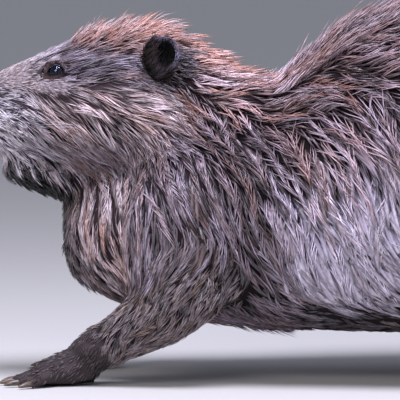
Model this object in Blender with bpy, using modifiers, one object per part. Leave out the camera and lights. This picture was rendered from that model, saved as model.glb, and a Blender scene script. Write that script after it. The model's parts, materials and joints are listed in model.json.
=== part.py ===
"""Eurasian beaver on all fours: a life-size still model in named, closed solids.

The animal faces -X and stands on the XY plane. Every solid reaches out to the tips of the coat. A part of the
body is a loft through named cross-sections, or along the joints of a limb, and where two parts share space the
finer one stays whole and the other is carved around it with a thin gap.
"""

import math
from dataclasses import dataclass

import bmesh
import bpy
import numpy as np
from mathutils import Matrix, Vector

# Driving dimensions, in metres.
SOLE_LEVEL = 0.0
GAP = 0.0004
EYE_RADIUS = 0.0072
EYE_PLACE = Vector((-0.1015, 0.0292, 0.2142))
EAR_PLACE = Vector((-0.0262, 0.0485, 0.2215))
EAR_RADII = Vector((0.0125, 0.0085, 0.0178))
NOSE_PLACE = Vector((-0.1500, 0.0, 0.1915))
NOSE_RADII = Vector((0.0092, 0.0150, 0.0118))
THIGH_PLACE = Vector((0.383, 0.101, 0.124))
THIGH_RADII = Vector((0.098, 0.051, 0.098))
UPPER_ARM_PLACE = Vector((-0.012, 0.066, 0.106))
UPPER_ARM_RADII = Vector((0.047, 0.036, 0.062))
UPPER_ARM_LEAN = 14.0
THIGH_LEAN = 24.0
FOREPAW_PLACE = Vector((-0.082, 0.058, SOLE_LEVEL))
HIND_FOOT_PLACE = Vector((0.356, 0.106, SOLE_LEVEL))
FOREPAW_STAGGER = 0.009
HIND_FOOT_STAGGER = 0.012
CENTRE_SHIFT = Vector((-0.3456, 0.0, 0.0))

SOLE_DEPTH = 0.0005
FOOT_SHARE_KEPT = 0.34
WEB_LEVEL = 0.0046
WEB_THICKNESS = 0.0032
WEB_SAG = 0.12

SIDES = {"left": -1.0, "right": 1.0}


@dataclass(frozen=True)
class Section:
    """A cross-section square to X: its crown, its widest level, its underside and how square each half is."""

    x: float
    top: float
    wide: float
    bottom: float
    half_width: float
    upper_power: float = 2.0
    lower_power: float = 2.0


@dataclass(frozen=True)
class Joint:
    """A point on a limb's centreline, with the half-width across the limb and the half-depth along it."""

    x: float
    y: float
    z: float
    across: float
    along: float


HEAD = (
    Section(-0.1575, 0.1995, 0.1880, 0.1740, 0.0120),
    Section(-0.1535, 0.2065, 0.1875, 0.1650, 0.0215, 2.2, 2.2),
    Section(-0.1460, 0.2120, 0.1860, 0.1585, 0.0290, 2.3, 2.4),
    Section(-0.1340, 0.2175, 0.1830, 0.1535, 0.0345, 2.2, 2.4),
    Section(-0.1180, 0.2250, 0.1800, 0.1490, 0.0400, 2.0, 2.3),
    Section(-0.1000, 0.2345, 0.1765, 0.1440, 0.0475, 2.0, 2.3),
    Section(-0.0840, 0.2440, 0.1750, 0.1395, 0.0535, 2.1, 2.3),
    Section(-0.0660, 0.2510, 0.1750, 0.1355, 0.0580, 2.1, 2.3),
    Section(-0.0460, 0.2535, 0.1765, 0.1345, 0.0600, 2.1, 2.3),
    Section(-0.0260, 0.2525, 0.1790, 0.1380, 0.0590, 2.1, 2.2),
    Section(-0.0080, 0.2490, 0.1830, 0.1460, 0.0555),
    Section(0.0080, 0.2390, 0.1880, 0.1580, 0.0450),
    Section(0.0170, 0.2240, 0.1910, 0.1700, 0.0280),
)
LOWER_JAW = (
    Section(-0.1400, 0.1560, 0.1480, 0.1405, 0.0100),
    Section(-0.1360, 0.1600, 0.1480, 0.1350, 0.0185),
    Section(-0.1240, 0.1620, 0.1470, 0.1300, 0.0265),
    Section(-0.1060, 0.1620, 0.1450, 0.1240, 0.0335),
    Section(-0.0860, 0.1600, 0.1420, 0.1175, 0.0400),
    Section(-0.0660, 0.1600, 0.1400, 0.1140, 0.0430),
    Section(-0.0500, 0.1600, 0.1420, 0.1200, 0.0370),
)
NECK = (
    Section(-0.0680, 0.2050, 0.1650, 0.1300, 0.0260),
    Section(-0.0520, 0.2300, 0.1680, 0.1180, 0.0440),
    Section(-0.0250, 0.2430, 0.1700, 0.1120, 0.0570),
    Section(0.0000, 0.2450, 0.1700, 0.1080, 0.0655),
    Section(0.0360, 0.2265, 0.1640, 0.0980, 0.0755),
    Section(0.0540, 0.2190, 0.1600, 0.0940, 0.0790),
    Section(0.0760, 0.2120, 0.1550, 0.0950, 0.0700),
    Section(0.0900, 0.1900, 0.1500, 0.1100, 0.0450),
)
TRUNK = (
    Section(-0.0975, 0.1180, 0.1030, 0.0860, 0.0180),
    Section(-0.0920, 0.1360, 0.1020, 0.0700, 0.0400),
    Section(-0.0760, 0.1540, 0.1010, 0.0550, 0.0600),
    Section(-0.0350, 0.1800, 0.1060, 0.0390, 0.0830, 2.0, 2.1),
    Section(0.0100, 0.2020, 0.1120, 0.0325, 0.0970, 2.0, 2.3),
    Section(0.0470, 0.2170, 0.1160, 0.0300, 0.1045, 2.0, 2.4),
    Section(0.0700, 0.2330, 0.1180, 0.0290, 0.1095, 2.0, 2.4),
    Section(0.1000, 0.2560, 0.1210, 0.0280, 0.1160, 2.0, 2.4),
    Section(0.1400, 0.2690, 0.1250, 0.0270, 0.1235, 2.1, 2.4),
    Section(0.2000, 0.2860, 0.1290, 0.0265, 0.1315, 2.1, 2.4),
    Section(0.2600, 0.2975, 0.1310, 0.0265, 0.1370, 2.1, 2.4),
    Section(0.3200, 0.2990, 0.1310, 0.0270, 0.1390, 2.1, 2.4),
    Section(0.3750, 0.2890, 0.1280, 0.0285, 0.1355, 2.1, 2.3),
    Section(0.4250, 0.2670, 0.1200, 0.0300, 0.1250, 2.0, 2.2),
    Section(0.4680, 0.2330, 0.1090, 0.0320, 0.1055),
    Section(0.5050, 0.1920, 0.0950, 0.0340, 0.0820),
    Section(0.5350, 0.1480, 0.0800, 0.0370, 0.0580),
    Section(0.5500, 0.1180, 0.0720, 0.0440, 0.0340),
)
TAIL_ROOT = (
    Section(0.4900, 0.1050, 0.0800, 0.0500, 0.0280),
    Section(0.5050, 0.1280, 0.0760, 0.0280, 0.0440),
    Section(0.5300, 0.1240, 0.0640, 0.0140, 0.0490),
    Section(0.5550, 0.0960, 0.0480, 0.0050, 0.0465, 2.0, 2.3),
    Section(0.5800, 0.0670, 0.0320, -0.0010, 0.0420, 2.0, 2.6),
    Section(0.6020, 0.0470, 0.0220, -0.0015, 0.0370, 2.0, 3.0),
    Section(0.6140, 0.0340, 0.0170, 0.0030, 0.0230, 2.0, 3.0),
)
TAIL_PADDLE = (
    Section(0.5880, 0.0240, 0.0140, 0.0040, 0.0170, 2.0, 3.0),
    Section(0.6000, 0.0310, 0.0130, 0.0000, 0.0300, 2.0, 3.0),
    Section(0.6180, 0.0330, 0.0120, -0.0010, 0.0410, 1.7, 3.2),
    Section(0.6450, 0.0295, 0.0105, -0.0012, 0.0515, 1.6, 3.2),
    Section(0.6850, 0.0250, 0.0090, -0.0012, 0.0600, 1.6, 3.2),
    Section(0.7300, 0.0210, 0.0078, -0.0012, 0.0640, 1.6, 3.2),
    Section(0.7750, 0.0172, 0.0066, -0.0012, 0.0610, 1.6, 3.2),
    Section(0.8150, 0.0140, 0.0056, -0.0010, 0.0500, 1.7, 3.0),
    Section(0.8380, 0.0118, 0.0050, -0.0006, 0.0350, 1.8, 3.0),
    Section(0.8500, 0.0092, 0.0045, 0.0004, 0.0170),
)
# Limbs are given for the +Y side, and mirrored for the other.
FOREARM = (
    Joint(0.0080, 0.0790, 0.0800, 0.0200, 0.0220),
    Joint(-0.0020, 0.0785, 0.0700, 0.0265, 0.0310),
    Joint(-0.0240, 0.0730, 0.0500, 0.0240, 0.0275),
    Joint(-0.0460, 0.0665, 0.0355, 0.0210, 0.0220),
    Joint(-0.0650, 0.0610, 0.0245, 0.0180, 0.0165),
    Joint(-0.0750, 0.0590, 0.0195, 0.0120, 0.0120),
)
SHANK = (
    Joint(0.3280, 0.1080, 0.0850, 0.0200, 0.0220),
    Joint(0.3380, 0.1090, 0.0750, 0.0270, 0.0330),
    Joint(0.3640, 0.1090, 0.0600, 0.0290, 0.0350),
    Joint(0.3950, 0.1080, 0.0490, 0.0270, 0.0310),
    Joint(0.4220, 0.1060, 0.0380, 0.0215, 0.0230),
)


@dataclass(frozen=True)
class Foot:
    """The pad, digits, web and claws of one kind of foot, in its own frame: toes towards -X, sole at Z = 0."""

    pad: tuple[Joint, ...]
    root_x: float
    root_spread: float
    splay: tuple[float, ...]
    lengths: tuple[float, ...]
    digit_radius: float
    tip_radius: float
    knuckle_lift: float
    claw_length: float
    claw_radius: float
    web_reach: float
    toe_out: float


FOREPAW = Foot(
    pad=(
        Joint(0.0220, 0.0, 0.0190, 0.0110, 0.0110),
        Joint(0.0140, 0.0, 0.0155, 0.0165, 0.0150),
        Joint(0.0000, 0.0, 0.0105, 0.0185, 0.0125),
        Joint(-0.0130, 0.0, 0.0085, 0.0185, 0.0100),
        Joint(-0.0200, 0.0, 0.0075, 0.0135, 0.0080),
    ),
    root_x=-0.0110,
    root_spread=0.0150,
    splay=(-34.0, -15.0, 0.0, 14.0, 32.0),
    lengths=(0.0170, 0.0250, 0.0275, 0.0255, 0.0200),
    digit_radius=0.0056,
    tip_radius=0.0046,
    knuckle_lift=0.0030,
    claw_length=0.0150,
    claw_radius=0.0026,
    web_reach=0.30,
    toe_out=6.0,
)
HIND_FOOT = Foot(
    pad=(
        Joint(0.0860, 0.0, 0.0190, 0.0120, 0.0130),
        Joint(0.0780, 0.0, 0.0170, 0.0185, 0.0185),
        Joint(0.0500, 0.0, 0.0150, 0.0215, 0.0180),
        Joint(0.0180, 0.0, 0.0120, 0.0270, 0.0150),
        Joint(-0.0080, 0.0, 0.0095, 0.0330, 0.0120),
        Joint(-0.0220, 0.0, 0.0085, 0.0290, 0.0095),
    ),
    root_x=-0.0080,
    root_spread=0.0270,
    splay=(-27.0, -13.0, 0.0, 13.0, 25.0),
    lengths=(0.0480, 0.0600, 0.0680, 0.0660, 0.0540),
    digit_radius=0.0082,
    tip_radius=0.0064,
    knuckle_lift=0.0040,
    claw_length=0.0190,
    claw_radius=0.0042,
    web_reach=0.80,
    toe_out=10.0,
)


def clear_scene():
    """Empties the scene and makes the collections for the solids and for what only cuts them."""
    for item in list(bpy.data.objects):
        bpy.data.objects.remove(item)
    made = []
    for name in ("beaver", "cutters"):
        collection = bpy.data.collections.new(name)
        bpy.context.scene.collection.children.link(collection)
        made.append(collection)
    return made


def material(name, colour, roughness):
    """A plain Principled finish."""
    made = bpy.data.materials.new(name)
    made.use_nodes = True
    shader = made.node_tree.nodes["Principled BSDF"]
    shader.inputs["Base Color"].default_value = (*colour, 1.0)
    shader.inputs["Roughness"].default_value = roughness
    shader.inputs["Metallic"].default_value = 0.0
    return made


def finished_mesh(name, bm):
    """The mesh of a bmesh, in flat triangles, so that a cut through it leaves no face open to two readings."""
    bmesh.ops.triangulate(bm, faces=bm.faces)
    mesh = bpy.data.meshes.new(name)
    bm.to_mesh(mesh)
    bm.free()
    mesh.shade_smooth()
    return mesh


def closed_loft(name, rings):
    """One closed mesh through rings of points of equal number, each end drawn together at its middle."""
    bm = bmesh.new()
    loops = [[bm.verts.new(point) for point in ring] for ring in rings]
    count = len(loops[0])
    for first, second in zip(loops, loops[1:]):
        for k in range(count):
            bm.faces.new((first[k], first[(k + 1) % count], second[(k + 1) % count], second[k]))
    for loop in (loops[0], loops[-1]):
        middle = sum((v.co for v in loop), Vector()) / count
        pole = bm.verts.new(middle)
        for k in range(count):
            bm.faces.new((loop[k], loop[(k + 1) % count], pole))
    bmesh.ops.recalc_face_normals(bm, faces=bm.faces)
    return finished_mesh(name, bm)


def section_ring(section, segments):
    """The points of one cross-section: two half superellipses that share the widest level."""
    ring = []
    for k in range(segments):
        turn = 2 * math.pi * k / segments
        across, up = math.cos(turn), math.sin(turn)
        power = section.upper_power if up >= 0 else section.lower_power
        reach = (abs(across) ** power + abs(up) ** power) ** (-1 / power)
        height = section.top - section.wide if up >= 0 else section.wide - section.bottom
        z = max(section.wide + height * up * reach, SOLE_LEVEL)
        ring.append(Vector((section.x, section.half_width * across * reach, z)))
    return ring


def body_loft(name, sections, segments):
    """A part of the body that runs along X, as a loft through its sections."""
    return closed_loft(name, [section_ring(section, segments) for section in sections])


def limb_loft(name, joints, segments):
    """A limb or digit along its joints, with an oval section square to the centreline."""
    places = [Vector((joint.x, joint.y, joint.z)) for joint in joints]
    rings = []
    for i, joint in enumerate(joints):
        ahead = places[min(i + 1, len(joints) - 1)] - places[max(i - 1, 0)]
        ahead.normalize()
        across = ahead.cross(Vector((0, 0, 1))).normalized()
        up = across.cross(ahead)
        ring = []
        for k in range(segments):
            turn = 2 * math.pi * k / segments
            point = places[i] + across * joint.across * math.cos(turn) + up * joint.along * math.sin(turn)
            point.z = max(point.z, SOLE_LEVEL)
            ring.append(point)
        rings.append(ring)
    return closed_loft(name, rings)


def ball(name, place, radii, turn=None, segments=16, rings=10):
    """An ellipsoid at a place, turned if asked."""
    bm = bmesh.new()
    bmesh.ops.create_uvsphere(bm, u_segments=segments, v_segments=rings, radius=1.0)
    bm.transform(Matrix.Translation(place) @ (turn or Matrix.Identity(4)) @ Matrix.Diagonal((*radii, 1.0)))
    return finished_mesh(name, bm)


def mirrored(mesh):
    """The mesh on the -Y side, with its faces turned to point outwards again."""
    mesh.transform(Matrix.Diagonal((1.0, -1.0, 1.0, 1.0)))
    mesh.flip_normals()
    return mesh


def evaluated_mesh(item):
    """The mesh of an object with its modifiers applied; the object itself is removed."""
    bpy.context.view_layer.update()
    graph = bpy.context.evaluated_depsgraph_get()
    made = bpy.data.meshes.new_from_object(item.evaluated_get(graph))
    bpy.data.objects.remove(item)
    return made


def combined(meshes, scratch, operation):
    """The first mesh with the others joined to it or cut out of it, by Booleans."""
    base = bpy.data.objects.new("base", meshes[0])
    scratch.objects.link(base)
    helpers = []
    for mesh in meshes[1:]:
        helper = bpy.data.objects.new("helper", mesh)
        scratch.objects.link(helper)
        helpers.append(helper)
        step = base.modifiers.new(operation.lower(), "BOOLEAN")
        step.operation = operation
        step.object = helper
    made = evaluated_mesh(base)
    for helper in helpers:
        bpy.data.objects.remove(helper)
    return made


def simplified(mesh, scratch):
    """The mesh with the slivers that a union leaves collapsed, and its sole flat on the ground again."""
    item = bpy.data.objects.new("simplified", mesh)
    scratch.objects.link(item)
    collapse = item.modifiers.new("collapse", "DECIMATE")
    collapse.ratio = FOOT_SHARE_KEPT
    made = evaluated_mesh(item)
    for vertex in made.vertices:
        if vertex.co.z < SOLE_DEPTH:
            vertex.co.z = SOLE_LEVEL
    return made


def inflated(mesh, gap):
    """A copy of the mesh, grown by the gap along its normals."""
    grown = mesh.copy()
    normals = [v.normal.copy() for v in mesh.vertices]
    for vertex, normal in zip(grown.vertices, normals):
        vertex.co += normal * gap
    return grown


def ear_meshes(side, scratch):
    """A short round ear: an oval cup that opens outwards and a little forwards, and the same ear unhollowed."""
    lean = Matrix.Rotation(math.radians(12), 4, "Y") @ Matrix.Rotation(math.radians(-24 * side), 4, "Z")
    place = Vector((EAR_PLACE.x, EAR_PLACE.y * side, EAR_PLACE.z))
    shell = ball(f"ear_{side}", place, EAR_RADII, lean, 12, 6)
    opening = lean @ Vector((-0.0010, 0.0062 * side, 0.0016))
    hollow_radii = Vector((EAR_RADII.x * 0.74, EAR_RADII.y * 0.84, EAR_RADII.z * 0.76))
    hollow = ball("ear_hollow", place + opening, hollow_radii, lean, 9, 5)
    return combined([shell, hollow], scratch, "DIFFERENCE"), shell


def nose_meshes(scratch):
    """The bare nose pad with a nostril at each side, and the same pad without them."""
    whole = ball("nose", NOSE_PLACE, NOSE_RADII, None, 10, 6)
    nostrils = []
    for side in SIDES.values():
        place = NOSE_PLACE + Vector((-0.0062, 0.0098 * side, -0.0010))
        turn = Matrix.Rotation(math.radians(35 * side), 4, "Z")
        nostrils.append(ball("nostril", place, Vector((0.0045, 0.0024, 0.0036)), turn, 6, 4))
    return combined([whole, *nostrils], scratch, "DIFFERENCE"), whole


def digit_joints(foot, index):
    """The joints of one digit, from inside the pad to its tip, arched over the knuckle."""
    share = index / (len(foot.lengths) - 1) * 2 - 1
    root_y = foot.root_spread * share
    angle = math.radians(foot.splay[index])
    length = foot.lengths[index]
    root_r, tip_r = foot.digit_radius, foot.tip_radius
    joints = []
    for along, lift, size in ((-0.12, 0.5, 0.8), (0.3, 1.0, 1.0), (0.85, 0.0, 0.95), (1.0, 0.0, 0.6)):
        radius = (root_r + (tip_r - root_r) * max(along, 0.0)) * size
        z = radius * 0.86 + foot.knuckle_lift * lift
        joints.append(
            Joint(
                foot.root_x - math.cos(angle) * length * along,
                root_y + math.sin(angle) * length * along,
                z,
                radius,
                radius,
            )
        )
    return joints


def claw_joints(foot, index):
    """The joints of one claw: out of the digit's tip and down to just above the ground."""
    joints = digit_joints(foot, index)
    tip, before = joints[-1], joints[-3]
    heading = Vector((tip.x - before.x, tip.y - before.y, 0.0)).normalized()
    start = Vector((tip.x, tip.y, tip.z + foot.claw_radius * 0.35)) - heading * foot.claw_length * 0.34
    made = []
    for along, drop, size in ((0.0, 0.0, 0.9), (0.55, 0.0, 0.9), (1.0, 0.6, 0.24)):
        place = start + heading * foot.claw_length * along
        z = start.z - (start.z - foot.claw_radius * 0.3) * drop
        made.append(
            Joint(place.x, place.y, max(z, foot.claw_radius * size + 0.0003),
                  foot.claw_radius * size, foot.claw_radius * size)
        )
    return made


def web_mesh(foot, scratch):
    """The skin between the digits: one thin sheet that stops short of their tips and sags between them."""
    rails = [digit_joints(foot, index) for index in range(len(foot.lengths))]
    mesh = bpy.data.meshes.new("web")
    bm = bmesh.new()
    rows = []
    for along in (0.0, 0.5, 1.0):
        ends = []
        for rail in rails:
            root = Vector((rail[1].x, rail[1].y, WEB_LEVEL))
            tip = Vector((rail[-1].x, rail[-1].y, WEB_LEVEL))
            ends.append(root.lerp(tip, along * foot.web_reach))
        row = [ends[0]]
        for first, second in zip(ends, ends[1:]):
            sag = (first - second).length * WEB_SAG * along
            row.append((first + second) / 2 + Vector((sag, 0, 0)))
            row.append(second)
        rows.append([bm.verts.new(point) for point in row])
    for first, second in zip(rows, rows[1:]):
        for k in range(len(first) - 1):
            bm.faces.new((first[k], first[k + 1], second[k + 1], second[k]))
    bm.to_mesh(mesh)
    bm.free()
    sheet = bpy.data.objects.new("web", mesh)
    scratch.objects.link(sheet)
    wall = sheet.modifiers.new("thickness", "SOLIDIFY")
    wall.thickness = WEB_THICKNESS
    wall.offset = 0.0
    return evaluated_mesh(sheet)


def foot_meshes(foot, name, place, side, scratch):
    """The foot as one body and its claws, in place on the ground."""
    solids = [limb_loft(name, foot.pad, 8)]
    for index in range(len(foot.lengths)):
        solids.append(limb_loft("digit", digit_joints(foot, index), 5))
    solids.append(web_mesh(foot, scratch))
    body = simplified(combined(solids, scratch, "UNION"), scratch)
    claws = [limb_loft("claw", claw_joints(foot, index), 5) for index in range(len(foot.lengths))]
    turn = Matrix.Rotation(math.radians(-foot.toe_out), 4, "Z")
    for mesh in (body, *claws):
        mesh.transform(Matrix.Translation(place) @ turn)
        if side < 0:
            mirrored(mesh)
    return body, claws


def limb_on_side(name, joints, segments, side, shift=0.0):
    """A limb's loft on one side of the body, its lower end moved along X with the foot."""
    moved = [
        Joint(j.x + shift * i / (len(joints) - 1), j.y, j.z, j.across, j.along) for i, j in enumerate(joints)
    ]
    mesh = limb_loft(name, moved, segments)
    return mirrored(mesh) if side < 0 else mesh


def muscle(place, radii, lean, side, segments):
    """The rounded upper part of a limb, leaning back by some degrees, on one side of the body."""
    on_side = Vector((place.x, place.y * side, place.z))
    turn = Matrix.Rotation(math.radians(lean), 4, "Y")
    return ball("muscle", on_side, radii, turn, segments, segments // 2 + 1)


def box_of(mesh):
    """The lowest and highest corner of a mesh."""
    points = np.array([v.co for v in mesh.vertices])
    return points.min(0), points.max(0)


def share_space(first, second):
    """True if the boxes of two meshes meet."""
    (low_a, high_a), (low_b, high_b) = box_of(first), box_of(second)
    return bool((low_a < high_b + GAP).all() and (low_b < high_a + GAP).all())


def build_parts(scratch):
    """Every part as (name, mesh, finish, mesh to carve its neighbours with), the whole ones first."""
    parts = []

    def add(name, mesh, finish, tool=None):
        """Adds one part, which carves with its own shape unless a fuller one is given."""
        parts.append((name, mesh, finish, tool or mesh.copy()))

    for side_name, side in SIDES.items():
        place = Vector((FOREPAW_PLACE.x + FOREPAW_STAGGER * side, FOREPAW_PLACE.y, SOLE_LEVEL))
        paw, claws = foot_meshes(FOREPAW, "forepaw", place, side, scratch)
        hind_place = Vector((HIND_FOOT_PLACE.x - HIND_FOOT_STAGGER * side, HIND_FOOT_PLACE.y, SOLE_LEVEL))
        hind, hind_claws = foot_meshes(HIND_FOOT, "hind_foot", hind_place, side, scratch)
        for index, claw in enumerate(claws):
            add(f"claw_fore_{side_name}_{index + 1}", claw, "claw")
        for index, claw in enumerate(hind_claws):
            add(f"claw_hind_{side_name}_{index + 1}", claw, "claw")
        eye_place = Vector((EYE_PLACE.x, EYE_PLACE.y * side, EYE_PLACE.z))
        radii = Vector((EYE_RADIUS,) * 3)
        add(f"eye_{side_name}", ball("eye", eye_place, radii, None, 10, 6), "eye")
        ear, whole_ear = ear_meshes(side, scratch)
        add(f"ear_{side_name}", ear, "ear", whole_ear)
        add(f"forepaw_{side_name}", paw, "bare_skin")
        add(f"hind_foot_{side_name}", hind, "bare_skin")
    nose, whole_nose = nose_meshes(scratch)
    add("nose", nose, "nose", whole_nose)
    add("head", body_loft("head", HEAD, 20), "coat")
    add("lower_jaw", body_loft("lower_jaw", LOWER_JAW, 10), "coat")
    add("neck", body_loft("neck", NECK, 14), "coat")
    for side_name, side in SIDES.items():
        shank = limb_on_side("shank", SHANK, 9, side, -HIND_FOOT_STAGGER * side)
        add(f"shank_{side_name}", shank, "coat")
        thigh = muscle(THIGH_PLACE, THIGH_RADII, THIGH_LEAN, side, 14)
        add(f"thigh_{side_name}", thigh, "coat")
        forearm = limb_on_side("forearm", FOREARM, 9, side, FOREPAW_STAGGER * side)
        add(f"forearm_{side_name}", forearm, "coat")
        upper_arm = muscle(UPPER_ARM_PLACE, UPPER_ARM_RADII, UPPER_ARM_LEAN, side, 10)
        add(f"upper_arm_{side_name}", upper_arm, "coat")
    add("tail_paddle", body_loft("tail_paddle", TAIL_PADDLE, 14), "tail_scale")
    add("tail_root", body_loft("tail_root", TAIL_ROOT, 12), "coat")
    add("trunk", body_loft("trunk", TRUNK, 18), "coat")
    return parts


def place_parts(parts, collection, cutters):
    """Makes the objects, each carved around the parts that come before it, and moves them to the origin."""
    finishes = {
        "coat": material("coat", (0.105, 0.055, 0.034), 0.62),
        "ear": material("ear", (0.018, 0.013, 0.012), 0.6),
        "nose": material("nose", (0.016, 0.014, 0.015), 0.42),
        "eye": material("eye", (0.006, 0.005, 0.005), 0.06),
        "claw": material("claw", (0.060, 0.045, 0.036), 0.38),
        "bare_skin": material("bare_skin", (0.040, 0.033, 0.031), 0.52),
        "tail_scale": material("tail_scale", (0.034, 0.031, 0.032), 0.48),
    }
    earlier = []
    for name, mesh, finish, whole in parts:
        mesh.name = name
        item = bpy.data.objects.new(name, mesh)
        collection.objects.link(item)
        mesh.materials.clear()
        mesh.materials.append(finishes[finish])
        item.location = CENTRE_SHIFT
        for other_name, other in earlier:
            if not share_space(whole, other):
                continue
            tool = bpy.data.objects.new(f"{name}_around_{other_name}", inflated(other, GAP))
            cutters.objects.link(tool)
            tool.location = CENTRE_SHIFT
            tool.hide_render = True
            tool.display_type = "WIRE"
            carve = item.modifiers.new(f"around_{other_name}", "BOOLEAN")
            carve.operation = "DIFFERENCE"
            carve.object = tool
        earlier.append((name, whole))


def main():
    """Builds the beaver."""
    collection, cutters = clear_scene()
    place_parts(build_parts(cutters), collection, cutters)


main()
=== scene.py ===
"""Eurasian beaver on all fours as a museum model: skin, wet coat, eyes, ears, claws and scaled tail."""

import json
import logging
import math
from collections.abc import Callable, Mapping
from dataclasses import dataclass, field
from enum import IntEnum
from functools import partial

import bmesh
import bpy
import numpy as np
from bpy.types import GeometryNodeTree, Material, Mesh, Node, NodeSocket, NodeTree, Object
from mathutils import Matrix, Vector
from mathutils.bvhtree import BVHTree
from mathutils.kdtree import KDTree

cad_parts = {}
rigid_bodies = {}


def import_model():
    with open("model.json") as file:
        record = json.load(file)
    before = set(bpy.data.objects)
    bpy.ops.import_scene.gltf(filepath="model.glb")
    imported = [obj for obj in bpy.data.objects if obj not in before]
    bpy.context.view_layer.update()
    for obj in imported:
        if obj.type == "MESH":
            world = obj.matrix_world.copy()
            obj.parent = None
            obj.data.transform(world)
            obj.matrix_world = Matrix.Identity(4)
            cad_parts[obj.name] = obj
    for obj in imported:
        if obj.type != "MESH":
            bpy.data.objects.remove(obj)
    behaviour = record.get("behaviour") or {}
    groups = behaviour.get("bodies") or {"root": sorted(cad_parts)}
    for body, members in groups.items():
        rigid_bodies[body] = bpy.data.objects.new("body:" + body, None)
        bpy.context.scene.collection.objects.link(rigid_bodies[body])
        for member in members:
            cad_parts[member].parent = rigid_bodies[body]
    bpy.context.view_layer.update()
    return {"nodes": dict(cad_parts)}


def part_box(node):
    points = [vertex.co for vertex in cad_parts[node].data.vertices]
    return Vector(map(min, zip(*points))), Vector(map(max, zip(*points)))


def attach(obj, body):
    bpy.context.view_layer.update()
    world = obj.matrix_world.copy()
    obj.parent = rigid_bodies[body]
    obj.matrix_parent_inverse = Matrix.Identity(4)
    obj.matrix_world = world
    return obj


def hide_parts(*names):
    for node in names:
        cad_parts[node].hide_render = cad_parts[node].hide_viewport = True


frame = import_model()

logging.basicConfig(level=logging.INFO, format="%(message)s")
log = logging.getLogger("beaver")

BODY = "root"
SEED = 20
BAKE_MAP = "OFBake"
BAKE_PATCH = 0.003
MARKING = "marking"
LOCK = "lock"
SIDES = ((-1, "left"), (1, "right"))
FULL_TURN = 2 * math.pi
MULTIPLY = {"operation": "MULTIPLY"}
SCALE = {"operation": "SCALE"}

Array = np.ndarray
Pair = tuple[float, float]
Inputs = Mapping[str | int, object]


def linear(code: str) -> Array:
    """Turns an sRGB hex colour into linear red, green and blue."""
    values = np.array([int(code[i : i + 2], 16) / 255 for i in (1, 3, 5)])
    return np.where(values <= 0.04045, values / 12.92, ((values + 0.055) / 1.055) ** 2.4)


def rgba(code: str) -> tuple[float, float, float, float]:
    """The linear colour of a hex code with full alpha."""
    return (*linear(code), 1.0)


def mixed(first: str, second: str, share: Array) -> Array:
    """Linear colours that go from the first hex code to the second, one row for each share."""
    return linear(first) * (1 - share) + linear(second) * share


def per_metre(millimetres: float) -> float:
    """How many of a pattern's marks lie in a metre, from the real size of one."""
    return 1000 / millimetres


def smooth(low: float, high: float, value: Array) -> Array:
    """An S-shaped ramp from 0 at low to 1 at high."""
    share = np.clip((value - low) / (high - low), 0.0, 1.0)
    return share * share * (3 - 2 * share)


def within(span: Pair | None, value: Array) -> Array | float:
    """How far values are into a span, rising to its second end, or falling where that end is the lower.

    Args:
        span: Where the ramp begins and ends, or None for everywhere.
        value: The values.

    Returns:
        Shares from 0 to 1.
    """
    if span is None:
        return 1.0
    first, second = span
    return smooth(first, second, value) if first < second else 1 - smooth(second, first, value)


def lengths(vectors: Array) -> Array:
    """How long each vector is."""
    return np.linalg.norm(vectors, axis=-1)


def unit(vectors: Array) -> Array:
    """The vectors scaled to length one."""
    return vectors / np.maximum(np.linalg.norm(vectors, axis=-1, keepdims=True), 1e-9)


def laid(ways: Array, normals: Array) -> Array:
    """The ways laid down on a surface with these normals, at length one."""
    return unit(ways - normals * np.sum(ways * normals, axis=-1, keepdims=True))


def mirror(points: Array) -> Array:
    """The points with the left side laid over the right, Y positive."""
    return np.stack([points[:, 0], np.abs(points[:, 1]), points[:, 2]], axis=1)


def fit(node: Node, values: Inputs = {}, links: Inputs = {}) -> Node:
    """Sets and feeds a node's inputs.

    Args:
        node: The node.
        values: Input socket to its default value.
        links: Input socket to the output that feeds it, or to a node for that node's first output.

    Returns:
        The node.
    """
    for socket, value in values.items():
        node.inputs[socket].default_value = value
    for socket, source in links.items():
        output = source.outputs[0] if isinstance(source, Node) else source
        node.id_data.links.new(output, node.inputs[socket])
    return node


def add_node(
    tree: NodeTree, kind: str, settings: Inputs = {}, values: Inputs = {}, links: Inputs = {}
) -> Node:
    """Adds one node with its settings, values and links.

    Args:
        tree: Tree that takes the node.
        kind: Blender's name for the node's type.
        settings: Properties of the node.
        values: Input socket to its default value.
        links: Input socket to what feeds it.

    Returns:
        The new node.
    """
    node = tree.nodes.new(kind)
    for name, value in settings.items():
        setattr(node, name, value)
    return fit(node, values, links)


def new_material(name: str) -> tuple[Material, Callable[..., Node], Node, NodeSocket]:
    """Makes a material with nodes.

    Args:
        name: What the real material is.

    Returns:
        The material, the function that adds a node to it, its shader, and the place on the piece.
    """
    made = bpy.data.materials.new(name)
    made.use_nodes = True
    add = partial(add_node, made.node_tree)
    return made, add, made.node_tree.nodes["Principled BSDF"], add("ShaderNodeTexCoord").outputs["Object"]


def linked(name: str, mesh: Mesh) -> Object:
    """Makes an object for a mesh, in the scene.

    Args:
        name: Name of the object.
        mesh: Its mesh.

    Returns:
        The object.
    """
    item = bpy.data.objects.new(name, mesh)
    bpy.context.scene.collection.objects.link(item)
    return item


def place(name: str, mesh: Mesh, finish: Material, slot: str, *replaces: str) -> None:
    """Puts a finished mesh into the scene as a piece of the beaver.

    Args:
        name: Name of the piece.
        mesh: Its mesh, already in place.
        finish: Material for the whole of it.
        slot: Not used.
        replaces: Solid nodes that it stands for.
    """
    piece = linked(name, mesh)
    mesh.materials.clear()
    mesh.materials.append(finish)
    if replaces:
        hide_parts(*replaces)
    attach(piece, BODY)
    mesh.calc_loop_triangles()
    log.info("%s: %d triangles", name, len(mesh.loop_triangles))


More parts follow.
